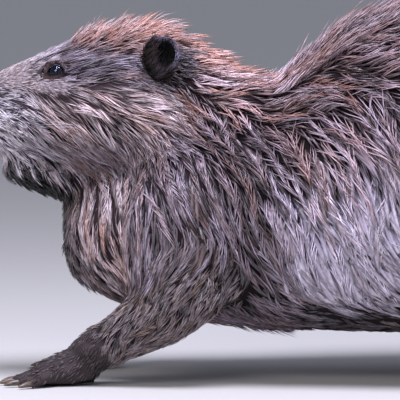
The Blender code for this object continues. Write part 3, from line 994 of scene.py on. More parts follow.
@dataclass
class Skin:
    """One closed skin over all the flesh, inside the solids by the coat's depth."""

    plan: CoatPlan
    nodes: list[str]
    voxel: float = 0.0021
    closing: float = 0.0006
    first_rounds: int = 60
    last_rounds: int = 8
    most_triangles: int = 150000
    bridge_half: float = 0.012
    patches: tuple[Patch, ...] = (
        Patch((0.0743, 0.0003), (0.023, 0.023), 400),
        Patch((0.0868, -0.0552), (0.036, 0.022), 160),
    )
    bare_colour: str = "#3d3536"

    def joined(self) -> Object:
        """The flesh nodes as one object, each grown enough to close the gaps between them."""
        whole = bmesh.new()
        for node in self.nodes:
            whole.from_mesh(merged_copy(node, self.closing))
        mesh = bpy.data.meshes.new("flesh")
        whole.to_mesh(mesh)
        whole.free()
        return linked("flesh", mesh)

    def build(self) -> Mesh:
        """The skin's mesh, with its markings and its unwrap."""
        plan, mesh = self.plan, remeshed(self.joined(), self.voxel)
        points, edges = read_points(mesh), read_edges(mesh)
        fine = plan.fine(points)
        points = relax(points, edges, self.first_rounds, 0.62 - 0.50 * fine)
        write_points(mesh, points)
        normals = read_normals(mesh)
        depth = plan.size(plan.weights(points, normals), "depth") * (1 - fine) + self.closing
        points = relax(points - normals * depth[:, None], edges, self.last_rounds, 0.6 - 0.55 * fine)
        for patch in self.patches:
            gap = (points - plan.marks.eye)[:, [0, 2]] - patch.middle
            inside = lengths(gap / patch.half) < 1
            points = membrane(points, edges, inside & (np.abs(points[:, 1]) > self.bridge_half), patch.rounds)
        write_points(mesh, FaceForm(plan.marks).shape(lift_to(points), normals))
        triangles = len(mesh.polygons) * 2
        if triangles > self.most_triangles:
            holder = linked("fine_skin", mesh)
            holder.modifiers.new("fewer", "DECIMATE").ratio = self.most_triangles / triangles
            mesh = evaluated(holder)
        unwrap(mesh)
        self.mark(mesh)
        mesh.shade_smooth()
        mesh.name = "skin"
        return mesh

    def mark(self, mesh: Mesh) -> None:
        """Stores the markings on the skin: under fur half the shade of its roots, painted shade in the gaps
        between locks; on the face, where the fur is short, nearer its own tone.

        Args:
            mesh: The skin.
        """
        plan, points = self.plan, read_points(mesh)
        shares = plan.weights(points, read_normals(mesh))
        # Under long fur the skin takes half the roots' dark colour: painted shade between the locks.
        shade, middle = plan.colour(shares, "shade") * 0.5, plan.colour(shares, "middle") * 0.8
        short = 1 - smooth(0.004, 0.010, plan.size(shares, "length"))[:, None]
        bare = plan.bare(points)[:, None]
        under_fur = shade + (middle - shade) * short
        set_colours(mesh, MARKING, under_fur * (1 - bare) + linear(self.bare_colour) * bare)
        set_colours(mesh, LOCK, np.repeat(np.maximum(bare, 0.5 * short), 3, axis=1))


@dataclass(frozen=True)
class Mound:
    """A round rise (or with a negative rise, a hollow) on each side of the face, set out from the eye."""

    back: float
    side: float
    height: float
    radius: float
    rise: float


@dataclass
class FaceForm:
    """The forms of the face that the smoothed solids lack."""

    marks: Landmarks
    mounds: tuple[Mound, ...] = (
        Mound(0.0086, 0.004, 0.0125, 0.0085, 0.0022),  # brow
        Mound(-0.0014, 0.004, -0.0120, 0.0100, 0.0008),  # under the eye
        Mound(-0.0134, -0.002, -0.0020, 0.0090, -0.0014),  # in front of the eye
        Mound(0.050, 0.020, -0.0380, 0.0240, 0.0030),  # cheek
        Mound(-0.042, -0.010, -0.0330, 0.0130, 0.0028),  # whisker pad
        Mound(0.138, -0.0292, 0.0050, 0.0320, -0.0055),  # neck behind the ear
        Mound(0.016, -0.0292, 0.0270, 0.0160, 0.0042),  # crown
        Mound(-0.0069, -0.004, -0.0030, 0.0032, -0.0012),  # inner corner of the eye
    )

    def shape(self, points: Array, normals: Array) -> Array:
        """Moves the skin's points along their normals to give the face its forms.

        Args:
            points: Places on the skin.
            normals: Outward directions there.

        Returns:
            The new places.
        """
        moved = np.zeros(len(points))
        for mound in self.mounds:
            gap = lengths(mirror(points) - (self.marks.eye + [mound.back, mound.side, mound.height]))
            moved += mound.rise * np.exp(-((gap / mound.radius) ** 2))
        return points + normals * moved[:, None]


@dataclass(frozen=True)
class CoatLayer:
    """One layer of the coat: how its locks are set out, and how their strands run together.

    Spacing and width are in metres. Starts, reach and joins are shares: of the lock where strands begin
    and how far each goes, and of the strand where it meets its lock. Height scales the coat's depth.
    With a stretch, locks keep apart from one another, more so along the hair than across it. The dark
    share is how much of a strand from its root is near black, painted shade where the locks lie over
    one another. Stiff hair stands straight off its skin.
    """

    name: str
    spacing: float
    strands: int
    width: float
    height: Pair
    zones: dict[Zone, float]
    length: float = 1.0
    flatness: float = 0.7
    starts: Pair = (-0.2, 0.2)
    reach: Pair = (0.8, 1.0)
    joins: Pair = (0.6, 1.0)
    gather: float = 0.4
    rings: int = 2
    brightness: float = 1.0
    stretch: float = 0.0
    dark_share: float = 0.30
    stiff: bool = False

    def density(self) -> Array:
        """How close the layer's locks stand in each zone, against its own spacing."""
        return np.array([self.zones.get(zone, 0.0) for zone in Zone])

    def ring_places(self) -> Array:
        """Where a strand's rings and its tip lie along it, as shares."""
        return np.array([0.0, 0.32, 0.66, 1.0]) if self.rings == 3 else np.linspace(0, 1, self.rings + 1)


# The low brightness of the under and inner layers is painted shade beneath the layers over them.
LAYERS = (
    CoatLayer(
        "under", spacing=0.0103, strands=3, length=0.7, width=0.0021, flatness=0.45, reach=(0.7, 1.0),
        height=(0.15, 0.45), brightness=0.36,
        zones={
            Zone.FLANK: 1.0, Zone.BACK: 1.0, Zone.LOW_FLANK: 0.8, Zone.BELLY: 0.7, Zone.NECK: 1.3,
            Zone.LOW_NECK: 1.2, Zone.SHOULDER: 1.2, Zone.CHEST: 1.5, Zone.NAPE: 1.8, Zone.CROWN: 2.0,
            Zone.TEMPLE: 3.0, Zone.CHEEK: 3.0, Zone.JOWL: 2.6, Zone.LIP: 3.0, Zone.EAR_FOOT: 3.0,
            Zone.CHIN: 2.0, Zone.TAIL_ROOT: 1.4, Zone.LIMB: 2.4,
        },
    ),
    CoatLayer(
        "inner", spacing=0.0123, strands=6, length=0.9, width=0.0012, flatness=0.8, starts=(-0.1, 0.4),
        reach=(0.5, 0.8), joins=(0.5, 0.95), gather=0.9, height=(0.3, 0.7), brightness=0.38,
        zones={
            Zone.FLANK: 0.9, Zone.BACK: 1.0, Zone.LOW_FLANK: 0.5, Zone.BELLY: 1.4, Zone.NECK: 1.0,
            Zone.LOW_NECK: 1.1, Zone.SHOULDER: 1.0, Zone.CHEST: 1.0, Zone.TAIL_ROOT: 1.2,
            Zone.TEMPLE: 2.8, Zone.CHEEK: 2.3, Zone.LIMB: 2.0,
        },
    ),
    CoatLayer(
        "guard", spacing=0.0124, strands=12, width=0.0011, flatness=0.8, starts=(-0.1, 0.5),
        reach=(0.45, 0.7), joins=(0.5, 0.95), gather=0.97, height=(0.5, 1.0), rings=3, stretch=1.5,
        dark_share=0.24,
        zones={
            Zone.NECK: 0.8, Zone.CHEST: 0.6, Zone.NAPE: 3.2, Zone.CROWN: 4.0, Zone.TEMPLE: 7.0,
            Zone.CHEEK: 6.5, Zone.JOWL: 5.5, Zone.LIP: 6.0, Zone.EAR_FOOT: 5.0, Zone.CHIN: 2.6,
            Zone.LIMB: 3.8, Zone.BACK: 0.3,
        },
    ),
    CoatLayer(
        "plumes", spacing=0.0150, strands=22, width=0.00094, flatness=0.8, starts=(-0.25, 0.55),
        reach=(0.40, 0.62), joins=(0.55, 0.95), gather=1.0, height=(0.55, 1.0), rings=3, stretch=1.75,
        dark_share=0.14,
        zones={
            Zone.FLANK: 1.0, Zone.BACK: 0.9, Zone.LOW_FLANK: 1.0, Zone.BELLY: 0.5, Zone.NECK: 0.9,
            Zone.LOW_NECK: 1.2, Zone.SHOULDER: 1.4, Zone.CHEST: 1.4, Zone.TAIL_ROOT: 1.0,
        },
    ),
    CoatLayer(
        "locks", spacing=0.0090, strands=3, length=0.95, width=0.0050, flatness=0.26, starts=(-0.1, 0.2),
        reach=(0.7, 0.95), joins=(0.8, 1.0), gather=0.7, height=(0.25, 0.50), rings=3, brightness=0.66,
        stretch=1.5, zones={Zone.LOW_FLANK: 1.2, Zone.SHOULDER: 0.15},
    ),
    CoatLayer(
        "spikes", spacing=0.0090, strands=4, length=0.85, width=0.0010, flatness=0.8, starts=(-0.1, 0.2),
        reach=(0.7, 1.0), gather=0.85, height=(0.9, 1.7), rings=3, brightness=1.05,
        zones={
            Zone.CROWN: 2.0, Zone.NAPE: 0.8, Zone.BACK: 0.35, Zone.NECK: 0.25, Zone.FLANK: 0.08,
            Zone.LOW_NECK: 0.12,
        },
    ),
    CoatLayer(
        "face", spacing=0.00224, strands=3, width=0.00075, height=(0.7, 1.25),
        zones={Zone.MUZZLE: 1.2, Zone.LIP: 0.25, Zone.EYE_RIM: 2.6, Zone.TEAR_LINE: 2.6, Zone.PAW: 0.32},
    ),
)

LID_LAYER = CoatLayer(
    "lid", spacing=0.0011, strands=3, width=0.0006, height=(0.5, 1.1),
    zones={Zone.EYE_RIM: 1.0, Zone.TEAR_LINE: 1.0, Zone.TEMPLE: 0.5, Zone.CHEEK: 0.5, Zone.MUZZLE: 1.0},
)

EAR_LAYERS = (
    CoatLayer(
        "ear", spacing=0.0012, strands=3, width=0.0007, height=(2.0, 5.0),
        zones={Zone.EAR_CUP: 0.6, Zone.EAR_EDGE: 1.0, Zone.EAR_FRINGE: 1.0},
    ),
    CoatLayer(
        "fringe", spacing=0.0017, strands=4, width=0.0008, starts=(-0.1, 0.1), height=(-1.0, 3.0), rings=3,
        zones={Zone.EAR_FRINGE: 1.0}, stiff=True,
    ),
)


@dataclass
class SkinSampler:
    """Picks root places on a skin, evenly for any density, with their place on its unwrap."""

    mesh: Mesh
    cell: float = 0.012

    def __post_init__(self) -> None:
        """Reads the skin's triangles once."""
        mesh = self.mesh
        mesh.calc_loop_triangles()
        corners = read(mesh.loop_triangles, "vertices", 3, np.int64)
        loops = read(mesh.loop_triangles, "loops", 3, np.int64)
        points = read_points(mesh)
        self.corners = points[corners]
        self.normals = read_normals(mesh)[corners]
        self.uvs = read(mesh.uv_layers[BAKE_MAP].data, "uv", 2)[loops]
        self.middles = self.corners.mean(axis=1)
        self.facing = unit(self.normals.mean(axis=1))
        first, second, third = self.corners.transpose(1, 0, 2)
        self.areas = lengths(np.cross(second - first, third - first)) / 2
        cells = np.floor((self.middles - self.middles.min(axis=0)) / self.cell).astype(np.int64)
        self.order = np.lexsort((cells[:, 2], cells[:, 1], cells[:, 0]))
        self.tree = BVHTree.FromPolygons(points.tolist(), corners.tolist(), all_triangles=True)

    def pick(self, density: Array, rng: np.random.Generator) -> tuple[Array, Array, Array]:
        """Picks roots.

        Args:
            density: Roots for each square metre, one value for each triangle.
            rng: Source of chance.

        Returns:
            Places, normals and unwrap places of the roots.
        """
        total = np.cumsum((self.areas * density)[self.order])
        number = int(total[-1])
        marks = (np.arange(number) + rng.random(number)) * (total[-1] / number)
        chosen = self.order[np.searchsorted(total, marks)]
        first, second = np.sqrt(rng.random(number)), rng.random(number)
        shares = np.stack([1 - first, first * (1 - second), first * second], axis=1)[:, :, None]
        parts = (self.corners, self.normals, self.uvs)
        places, normals, uvs = ((part[chosen] * shares).sum(axis=1) for part in parts)
        return places, unit(normals), uvs

    def nearest(self, points: Array) -> tuple[Array, Array]:
        """The places on the skin nearest to some points, and the outward directions there."""
        found = [self.tree.find_nearest(point) for point in points.tolist()]
        return np.array([hit[0] for hit in found]), np.array([hit[1] for hit in found])


@dataclass(frozen=True)
class Locks:
    """The locks of one layer: where they are rooted, what the coat is like there, and how they lie.

    Places, outs and sides are the points, normals and sideways directions of each lock's walk over the skin.
    """

    roots: Array
    uvs: Array
    shares: Array
    length: Array
    places: Array
    outs: Array
    sides: Array


@dataclass(frozen=True)
class Strands:
    """Strands of one layer: points, colours and lock values, and each root's unwrap place and place."""

    points: Array
    colours: Array
    values: Array
    uvs: Array
    roots: Array

    def kept(self, chosen: Array) -> "Strands":
        """The chosen strands."""
        parts = (self.points, self.colours, self.values, self.uvs, self.roots)
        return Strands(*(part[chosen] for part in parts))


@dataclass
class Coat:
    """The coat: locks of tapered strands over a skin.

    Strays are standard deviations: turn and roll in radians, sideways in metres, bow against a lock's
    length, height against its own, and tone and warmth of the locks and of the strands within them.
    """

    plan: CoatPlan
    sampler: SkinSampler
    guide_steps: int = 4
    piece_triangles: int = 190000
    candidates: int = 6
    packing: float = 0.70
    length_spread: Pair = (0.8, 1.15)
    width_spread: Pair = (0.65, 1.25)
    turn_stray: float = 0.11
    side_stray: float = 0.0006
    bow: float = 0.06
    height_stray: float = 0.15
    roll_stray: float = 0.5
    overrun: float = 1.08
    sunk: float = 0.0007
    floor_gap: float = 0.0012
    lowest: float = 0.0005
    tone_stray: Pair = (0.18, 0.16)
    warmth_stray: Pair = (0.26, 0.15)
    rng: np.random.Generator = field(default_factory=lambda: np.random.default_rng(SEED))

    def guides(
        self, roots: Array, normals: Array, length: Array, stiff: bool
    ) -> tuple[Array, Array, Array]:
        """Walks over the skin from each root, along the lie of the hair.

        Args:
            roots: Root places.
            normals: Normals there.
            length: How far each walk goes, in metres.
            stiff: Whether the walks go straight on instead of following the skin.

        Returns:
            Places, normals and sideways directions along the walks: locks by steps by three.
        """
        places, outs, sides = [roots], [normals], []
        turn = self.rng.normal(0, self.turn_stray, len(roots))[:, None]
        heading = None
        for step in range(self.guide_steps + 1):
            here, out = places[-1], outs[-1]
            wanted = self.plan.heading(here, out, self.plan.weights(here, out))
            wanted = unit(wanted + np.cross(out, wanted) * turn)
            heading = wanted if heading is None else unit(heading * 0.5 + wanted * 0.5)
            heading = laid(heading, out)
            sides.append(np.cross(out, heading))
            if step == self.guide_steps:
                break
            ahead = here + heading * (length / self.guide_steps)[:, None]
            moved, facing = (ahead, out) if stiff else self.sampler.nearest(ahead)
            places.append(moved)
            outs.append(unit(out * 0.4 + facing * 0.6))
        return np.stack(places, 1), np.stack(outs, 1), np.stack(sides, 1)

    def kept_apart(
        self, roots: Array, ahead: Array, normals: Array, gaps: Array, stretch: float
    ) -> Array:
        """Chooses roots that each keep a narrow patch of skin, long way along the hair, to themselves.

        Args:
            roots: Root places to choose from.
            ahead: The way the hair points there.
            normals: Normals there.
            gaps: The patch's mean half size at each, in metres.
            stretch: How far the patch is drawn out along the hair.

        Returns:
            Indices of the chosen roots.
        """
        beside = np.cross(normals, ahead)
        tree = KDTree(len(roots))
        for index, root in enumerate(roots.tolist()):
            tree.insert(root, index)
        tree.balance()
        free, chosen = np.ones(len(roots), bool), []
        for index in self.rng.permutation(len(roots)).tolist():
            if not free[index]:
                continue
            chosen.append(index)
            near = np.array([found[1] for found in tree.find_range(roots[index], gaps[index] * stretch)])
            step = roots[near] - roots[index]
            apart = (step @ ahead[index] / stretch) ** 2 + (step @ beside[index] * stretch) ** 2
            free[near[apart < gaps[index] ** 2]] = False
        return np.array(chosen)

    @staticmethod
    def along(guide: Array, share: Array) -> Array:
        """Reads guides at shares of their length, running on straight past their ends.

        Args:
            guide: Values at the guides' steps.
            share: Where to read, by lock, strand and ring.

        Returns:
            The values there.
        """
        steps = guide.shape[1] - 1
        place_on = share * steps
        index = np.clip(np.floor(place_on).astype(int), 0, steps - 1)
        rest = (place_on - index)[..., None]
        rows = np.arange(len(guide))[:, None, None]
        return guide[rows, index] * (1 - rest) + guide[rows, index + 1] * rest

    def set_out(self, layer: CoatLayer) -> Locks:
        """Chooses the roots of a layer's locks and walks each lock over the skin.

        Args:
            layer: What the layer is like.

        Returns:
            The locks.
        """
        plan, rng, zones = self.plan, self.rng, layer.density()
        middles = self.sampler.middles
        density = plan.weights(middles, self.sampler.facing) @ zones / layer.spacing**2
        density *= (1 - plan.bare(middles)) * ~plan.clear(middles) * 1.0
        if layer.stretch:
            # Too many at first, of which those that keep apart stay.
            roots, normals, uvs = self.sampler.pick(density * self.candidates, rng)
            shares = plan.weights(roots, normals)
            gaps = layer.spacing * np.sqrt(self.packing / np.maximum(shares @ zones, 0.05))
            ahead = plan.heading(roots, normals, shares)
            chosen = self.kept_apart(roots, ahead, normals, gaps, layer.stretch)
            roots, normals, uvs = roots[chosen], normals[chosen], uvs[chosen]
        else:
            roots, normals, uvs = self.sampler.pick(density, rng)
        shares = plan.weights(roots, normals)
        length = plan.size(shares, "length") * layer.length * rng.uniform(*self.length_spread, len(roots))
        return Locks(roots, uvs, shares, length, *self.guides(roots, normals, length, layer.stiff))

    def middle_lines(self, layer: CoatLayer, locks: Locks) -> tuple[Array, Array]:
        """Lays the strands into their locks, each closing on its lock's line towards the tip.

        Args:
            layer: What the layer is like.
            locks: Its locks.

        Returns:
            The places of the strands' rings and tips, and the outward directions there.
        """
        plan, rng, shares, ring_at = self.plan, self.rng, locks.shares, layer.ring_places()
        number, shape = len(locks.roots), (len(locks.roots), layer.strands)
        start = rng.uniform(*layer.starts, shape)
        end = np.minimum(start + rng.uniform(*layer.reach, shape), self.overrun)
        t = start[..., None] * (1 - ring_at) + end[..., None] * ring_at
        spread = plan.size(shares, "spread")[:, None]
        sideways = rng.uniform(0.25, 1, shape) * rng.choice([-1.0, 1.0], shape) * spread
        sideways = sideways * (1 - 0.6 * np.clip(start, 0, 1))
        join = rng.uniform(*layer.joins, shape)[..., None]
        gather = layer.gather * plan.trait(shares, "gather")[:, None, None]
        lateral = sideways[..., None] * (1 - gather * smooth(0.0, 1.0, ring_at / join))
        lateral += rng.normal(0, self.side_stray, shape)[..., None]
        lateral += (rng.normal(0, self.bow, number) * locks.length)[:, None, None] * ring_at**2
        depth = (plan.size(shares, "depth") * plan.trait(shares, "lift"))[:, None]
        top = depth * rng.uniform(*layer.height, shape)
        top *= (1 + rng.normal(0, self.height_stray, number))[:, None]
        # Roots sink a little into the skin.
        height = top[..., None] * ring_at**0.75 - np.minimum(self.sunk, 0.25 * top)[..., None]
        out = self.along(locks.outs, t)
        middles = self.along(locks.places, t) + self.along(locks.sides, t) * lateral[..., None]
        return lift_to(middles + out * height[..., None], self.floor_gap), out

    def tapered(self, layer: CoatLayer, locks: Locks, middles: Array, out: Array) -> Array:
        """Gives the strands their three sides: left, right and a crest on each ring, then the tip.

        Args:
            layer: What the layer is like.
            locks: Its locks.
            middles: Places of the strands' rings and tips.
            out: Outward directions there.

        Returns:
            The strands' points, by lock and strand.
        """
        rng, ring_at, shape = self.rng, layer.ring_places(), (len(locks.roots), layer.strands)
        lengthwise = unit(np.gradient(middles, axis=2))
        out = laid(out, lengthwise)
        side = np.cross(out, lengthwise)
        roll = rng.normal(0, self.roll_stray, shape)[..., None, None]
        across = side * np.cos(roll) + out * np.sin(roll)
        upward = out * np.cos(roll) - side * np.sin(roll)
        fineness = self.plan.trait(locks.shares, "fine")[:, None]
        width = layer.width * rng.uniform(*self.width_spread, shape) * fineness
        taper = np.interp(ring_at[:-1], [0, 0.4, 0.7, 1], [0.7, 1.0, 0.8, 0.35])
        half = (width[..., None] * taper)[..., None] / 2
        body, across, upward = middles[:, :, :-1], across[:, :, :-1], upward[:, :, :-1]
        crest = body + upward * half * layer.flatness * 1.5
        points = np.stack([body - across * half, body + across * half, crest], axis=3)
        points = points.reshape(*shape, layer.rings * 3, 3)
        return lift_to(np.concatenate([points, middles[:, :, -1:, :]], axis=2), self.lowest)

    def coloured(self, layer: CoatLayer, locks: Locks) -> tuple[Array, Array]:
        """Colours the strands from roots darkened with painted shade to pale tips, partly painted sky sheen,
        or rusty tips.

        Args:
            layer: What the layer is like.
            locks: Its locks.

        Returns:
            The strands' colours, and their lock values: place along, tone and place across.
        """
        plan, rng, shares, ring_at = self.plan, self.rng, locks.shares, layer.ring_places()
        number, shape = len(locks.roots), (len(locks.roots), layer.strands)
        per_vertex = np.append(np.repeat(ring_at[:-1], 3), 1.0)
        by_lock, by_strand = self.tone_stray
        tone = rng.normal(1.0, by_lock, number)[:, None] + rng.normal(0, by_strand, shape)
        tone = np.clip(tone, 0.45, 1.7)
        # Rusty and grey hair lie in patches about 2 cm wide.
        patches = 0.16 * np.sin(locks.roots @ np.array([130.0, 50.0, 60.0]) + 1.0)
        patches += 0.12 * np.sin(locks.roots @ np.array([-60.0, 90.0, 150.0]))
        by_lock, by_strand = self.warmth_stray
        warmth = (plan.trait(shares, "warmth") + patches + rng.normal(0, by_lock, number))[:, None]
        warmth = np.clip(warmth + rng.normal(0, by_strand, shape), 0, 1)[..., None]
        shade, middle, cool, rusty = (
            plan.colour(shares, name)[:, None] for name in ("shade", "middle", "tip", "rusty")
        )
        # The cool tip colour is pale lavender: partly the hair's own tone, partly painted sky sheen.
        tip = cool * (1 - warmth) + rusty * warmth
        half_way = middle * (1 - warmth * 0.5) + rusty * warmth * 0.5
        # Near-black roots: painted shade where the locks lie over one another.
        dark = smooth(0.0, layer.dark_share, per_vertex)[:, None]
        light = smooth(layer.dark_share, 1.0, per_vertex)[:, None]
        colours = shade[:, :, None] * (1 - dark) + half_way[:, :, None] * dark
        # Brightness below one dims a lower layer: painted shade beneath the layers over it.
        colours = (colours * (1 - light) + tip[:, :, None] * light) * layer.brightness
        values = np.zeros((*shape, len(per_vertex), 3))
        values[..., 0] = per_vertex
        values[..., 1] = tone[..., None]
        values[..., 2] = np.append(np.tile([0.0, 1.0, 0.5], layer.rings), 0.5)
        return colours, values

    def layer(self, layer: CoatLayer) -> Strands:
        """Makes the strands of one layer.

        Args:
            layer: What the layer is like.

        Returns:
            The strands that keep clear of the eye and the ear.
        """
        locks = self.set_out(layer)
        points = self.tapered(layer, locks, *self.middle_lines(layer, locks))
        colours, values = self.coloured(layer, locks)
        flat = len(locks.roots) * layer.strands
        by_strand = (part.reshape(flat, -1, 3) for part in (points, colours, values))
        by_root = (np.repeat(part, layer.strands, axis=0) for part in (locks.uvs, locks.roots))
        made = Strands(*by_strand, *by_root)
        inside = self.plan.clear(made.points.reshape(-1, 3)).reshape(flat, -1).any(axis=1)
        return made.kept(~inside)

    @staticmethod
    def strand_faces(rings: int) -> Array:
        """The triangles of one strand: a closed three-sided taper.

        Args:
            rings: How many rings it has.

        Returns:
            Three indices in each row.
        """
        faces = [(0, 1, 2)]
        for ring in range(rings - 1):
            for k in range(3):
                a, b = ring * 3 + k, ring * 3 + (k + 1) % 3
                faces += [(a, a + 3, b), (b, a + 3, b + 3)]
        tip, last = rings * 3, (rings - 1) * 3
        faces += [(last + k, tip, last + (k + 1) % 3) for k in range(3)]
        return np.array(faces)

    def mesh(self, name: str, strands: Strands, rings: int) -> Mesh:
        """Joins strands into one mesh with their markings and their patches on the unwrap.

        Args:
            name: Name of the mesh.
            strands: The strands.
            rings: How many rings each has.

        Returns:
            The mesh.
        """
        count, each = strands.points.shape[:2]
        triangles = (self.strand_faces(rings)[None] + (np.arange(count) * each)[:, None, None]).reshape(-1, 3)
        made = mesh_from(name, strands.points.reshape(-1, 3), triangles)
        set_colours(made, MARKING, strands.colours.reshape(-1, 3))
        set_colours(made, LOCK, strands.values.reshape(-1, 3))
        spots = np.array([(0.0, 0.0), (1.0, 0.0), (0.5, 0.0)] * rings + [(0.5, 1.0)])
        spots[:-1, 1] = np.repeat(np.linspace(0, 1, rings + 1)[:-1], 3)
        patches = (strands.uvs[:, None] + (spots - 0.5) * BAKE_PATCH).reshape(-1, 2)
        layer = made.uv_layers.new(name=BAKE_MAP)
        layer.data.foreach_set("uv", patches[triangles.ravel()].astype(np.float32).ravel())
        return made

    def dress(self, layer: CoatLayer, finish: Material, slot: str, label: str = "coat") -> int:
        """Makes a layer and places it in pieces, from the nose back.

        Args:
            layer: The layer.
            finish: Its material.
            slot: Passed on to place, which does not use it.
            label: Start of the pieces' names.

        Returns:
            The number of triangles.
        """
        strands = self.layer(layer)
        number, faces = len(strands.points), len(self.strand_faces(layer.rings))
        order = np.argsort(strands.roots[:, 0], kind="stable")
        pieces = math.ceil(number * faces / self.piece_triangles)
        for index, chosen in enumerate(np.array_split(order, pieces)):
            name = f"{label}_{layer.name}_{index + 1}"
            place(name, self.mesh(name, strands.kept(chosen), layer.rings), finish, slot)
        log.info("layer %s: %d strands, %d triangles", layer.name, number, number * faces)
        return number * faces


@dataclass
class PartPlan(CoatPlan):
    """The coat of a small part with a centre, axes (across or forward, up, out) and half sizes of its own."""

    centre: Array = field(default_factory=lambda: np.zeros(3))
    axes: Array = field(default_factory=lambda: np.eye(3))
    half: Pair = (1.0, 1.0)

    def local(self, points: Array) -> Array:
        """Points by the part's own axes."""
        return (points - self.centre) @ self.axes.T

    def gap(self, points: Array) -> Array:
        """How far points lie from the part's outward axis, in its half sizes."""
        return lengths(self.local(points)[:, :2] / self.half)

    def bare(self, points: Array) -> Array:
        """Only what is kept clear is bare."""
        return np.zeros(len(points))


@dataclass
class EarPlan(PartPlan):
    """The short hair of one ear: black in the cup, with painted shade in its hollow, greyer along its edge
    and behind, where the pale tips are painted light on the rim.
    """

    def weights(self, points: Array, normals: Array) -> Array:
        """The shares of cup, edge and fringe, by how far points are from the ear's middle.

        Args:
            points: Places on the ear.
            normals: Outward directions there.

        Returns:
            One row for each point and one column for each zone.
        """
        gap = self.gap(points)
        behind = normals @ self.axes[2] < -0.2
        edge = np.maximum(smooth(0.74, 0.94, gap), behind.astype(float))
        low = -self.local(points)[:, 1] / self.half[1]
        front = (self.centre[0] - points[:, 0]) / self.half[0]
        fringe = np.maximum(smooth(0.30, 0.6, low), smooth(0.25, 0.6, front) * smooth(-0.9, -0.5, low))
        fringe = fringe * smooth(0.45, 0.75, gap)
        shares = np.zeros((len(points), len(Zone)))
        shares[:, Zone.EAR_CUP] = (1 - edge) * (1 - fringe)
        shares[:, Zone.EAR_EDGE] = edge * (1 - fringe)
        shares[:, Zone.EAR_FRINGE] = fringe
        return shares

    def clear(self, points: Array) -> Array:
        """Nothing on the ear is kept clear."""
        return np.zeros(len(points), bool)

    def heading(self, points: Array, normals: Array, shares: Array) -> Array:
        """Away from the ear's foot along its surface, and for the fringe up over the mouth of the cup.

        Args:
            points: Places on the ear.
            normals: Outward directions there.
            shares: Zone shares there.

        Returns:
            Unit vectors.
        """
        foot = self.centre - self.axes[1] * self.half[1] * 0.8
        fringe = shares[:, Zone.EAR_FRINGE][:, None]
        over = unit(self.axes[1] * 0.9 + self.axes[2] * 0.40 + np.array([0.85, 0.0, 0.0]))
        return unit(laid(points - foot, normals) * (1 - fringe) + over * fringe)


@dataclass
class LidPlan(PartPlan):
    """The short soft hair on the lids of one eye, which leaves their wet edge bare."""

    half: Pair = (0.0055, 0.0042)
    ball_radius: float = 0.0069

    def weights(self, points: Array, normals: Array) -> Array:
        """As on the skin, and none at all on the inside of the lids."""
        outside = (normals @ self.axes[2] > 0.1).astype(float)
        return super().weights(points, normals) * outside[:, None]

    def clear(self, points: Array) -> Array:
        """The wet edge and the opening within it."""
        return self.gap(points) < 1

    def heading(self, points: Array, normals: Array, shares: Array) -> Array:
        """Out from the eye, and a little back."""
        way = unit(points - self.centre - self.axes[2] * self.ball_radius) + np.array([0.45, 0.0, 0.1])
        return laid(way, normals)


@dataclass
class Ear:
    """One ear: a small round cup of gristle with a rolled edge, furred all over."""

    marks: Landmarks
    side: int
    bowl: float = 0.0085
    wall: float = 0.0021
    lip: float = 0.055
    saddle: float = 0.0022
    segments: int = 56

    def plan(self) -> EarPlan:
        """The ear's centre and axes (across, up, out of the cup) with the plan of its hair."""
        mirror_side = np.array([1.0, self.side, 1.0])
        out = unit(np.array([-0.42, 0.86, 0.22]) * mirror_side)
        up = np.array([0.22, 0.0, 1.0])
        up = unit(up - out * (up @ out))
        half = (self.marks.ear_half[0] * 1.05, self.marks.ear_half[2] * 0.88)
        centre = self.marks.ear * mirror_side + out * 0.0025 + up * 0.0016
        return EarPlan(self.marks, centre=centre, axes=np.stack([np.cross(up, out), up, out]), half=half)

    def profile(self) -> Array:
        """Radius share and height of the cup's section, from its middle over the edge and back behind."""
        inner = [(r, -self.bowl * (1 - r**2.2)) for r in np.linspace(0, 0.96, 12)]
        edge = [
            (1.0 + self.lip * math.sin(a), 0.0008 - self.wall / 2 * (1 - math.cos(a)))
            for a in np.linspace(0.2, math.pi, 7)
        ]
        outer = [(r, -self.wall - (self.bowl + 0.001) * (1 - r**1.7)) for r in np.linspace(0.95, 0, 12)]
        return np.array(inner + edge + outer)

    def build(self) -> Mesh:
        """The shell of the ear."""
        plan, profile = self.plan(), self.profile()
        turn = np.linspace(0, FULL_TURN, self.segments, endpoint=False)
        # The edge waves a little and draws in towards the foot, as gristle does.
        waves = 0.03 * np.sin(3 * turn + 0.6), 0.02 * np.sin(5 * turn)
        reach = 1 + waves[0] + waves[1] - 0.16 * smooth(0.2, 1.0, -np.sin(turn))
        rows = profile[1:-1]
        across = rows[:, :1] * reach * np.cos(turn) * plan.half[0]
        up = rows[:, :1] * reach * np.sin(turn) * plan.half[1]
        out = rows[:, 1:] + self.saddle * rows[:, :1] ** 2 * np.cos(2 * turn)
        local = np.stack([across, up, out], axis=-1).reshape(-1, 3)
        ends = np.array([[0, 0, profile[0, 1]], [0, 0, profile[-1, 1]]])
        points = plan.centre + np.concatenate([local, ends]) @ plan.axes
        mesh = shell("ear_shell", points, ring_faces(len(rows), self.segments))
        unwrap(mesh)
        set_colours(mesh, MARKING, plan.colour(plan.weights(read_points(mesh), read_normals(mesh)), "shade"))
        return mesh


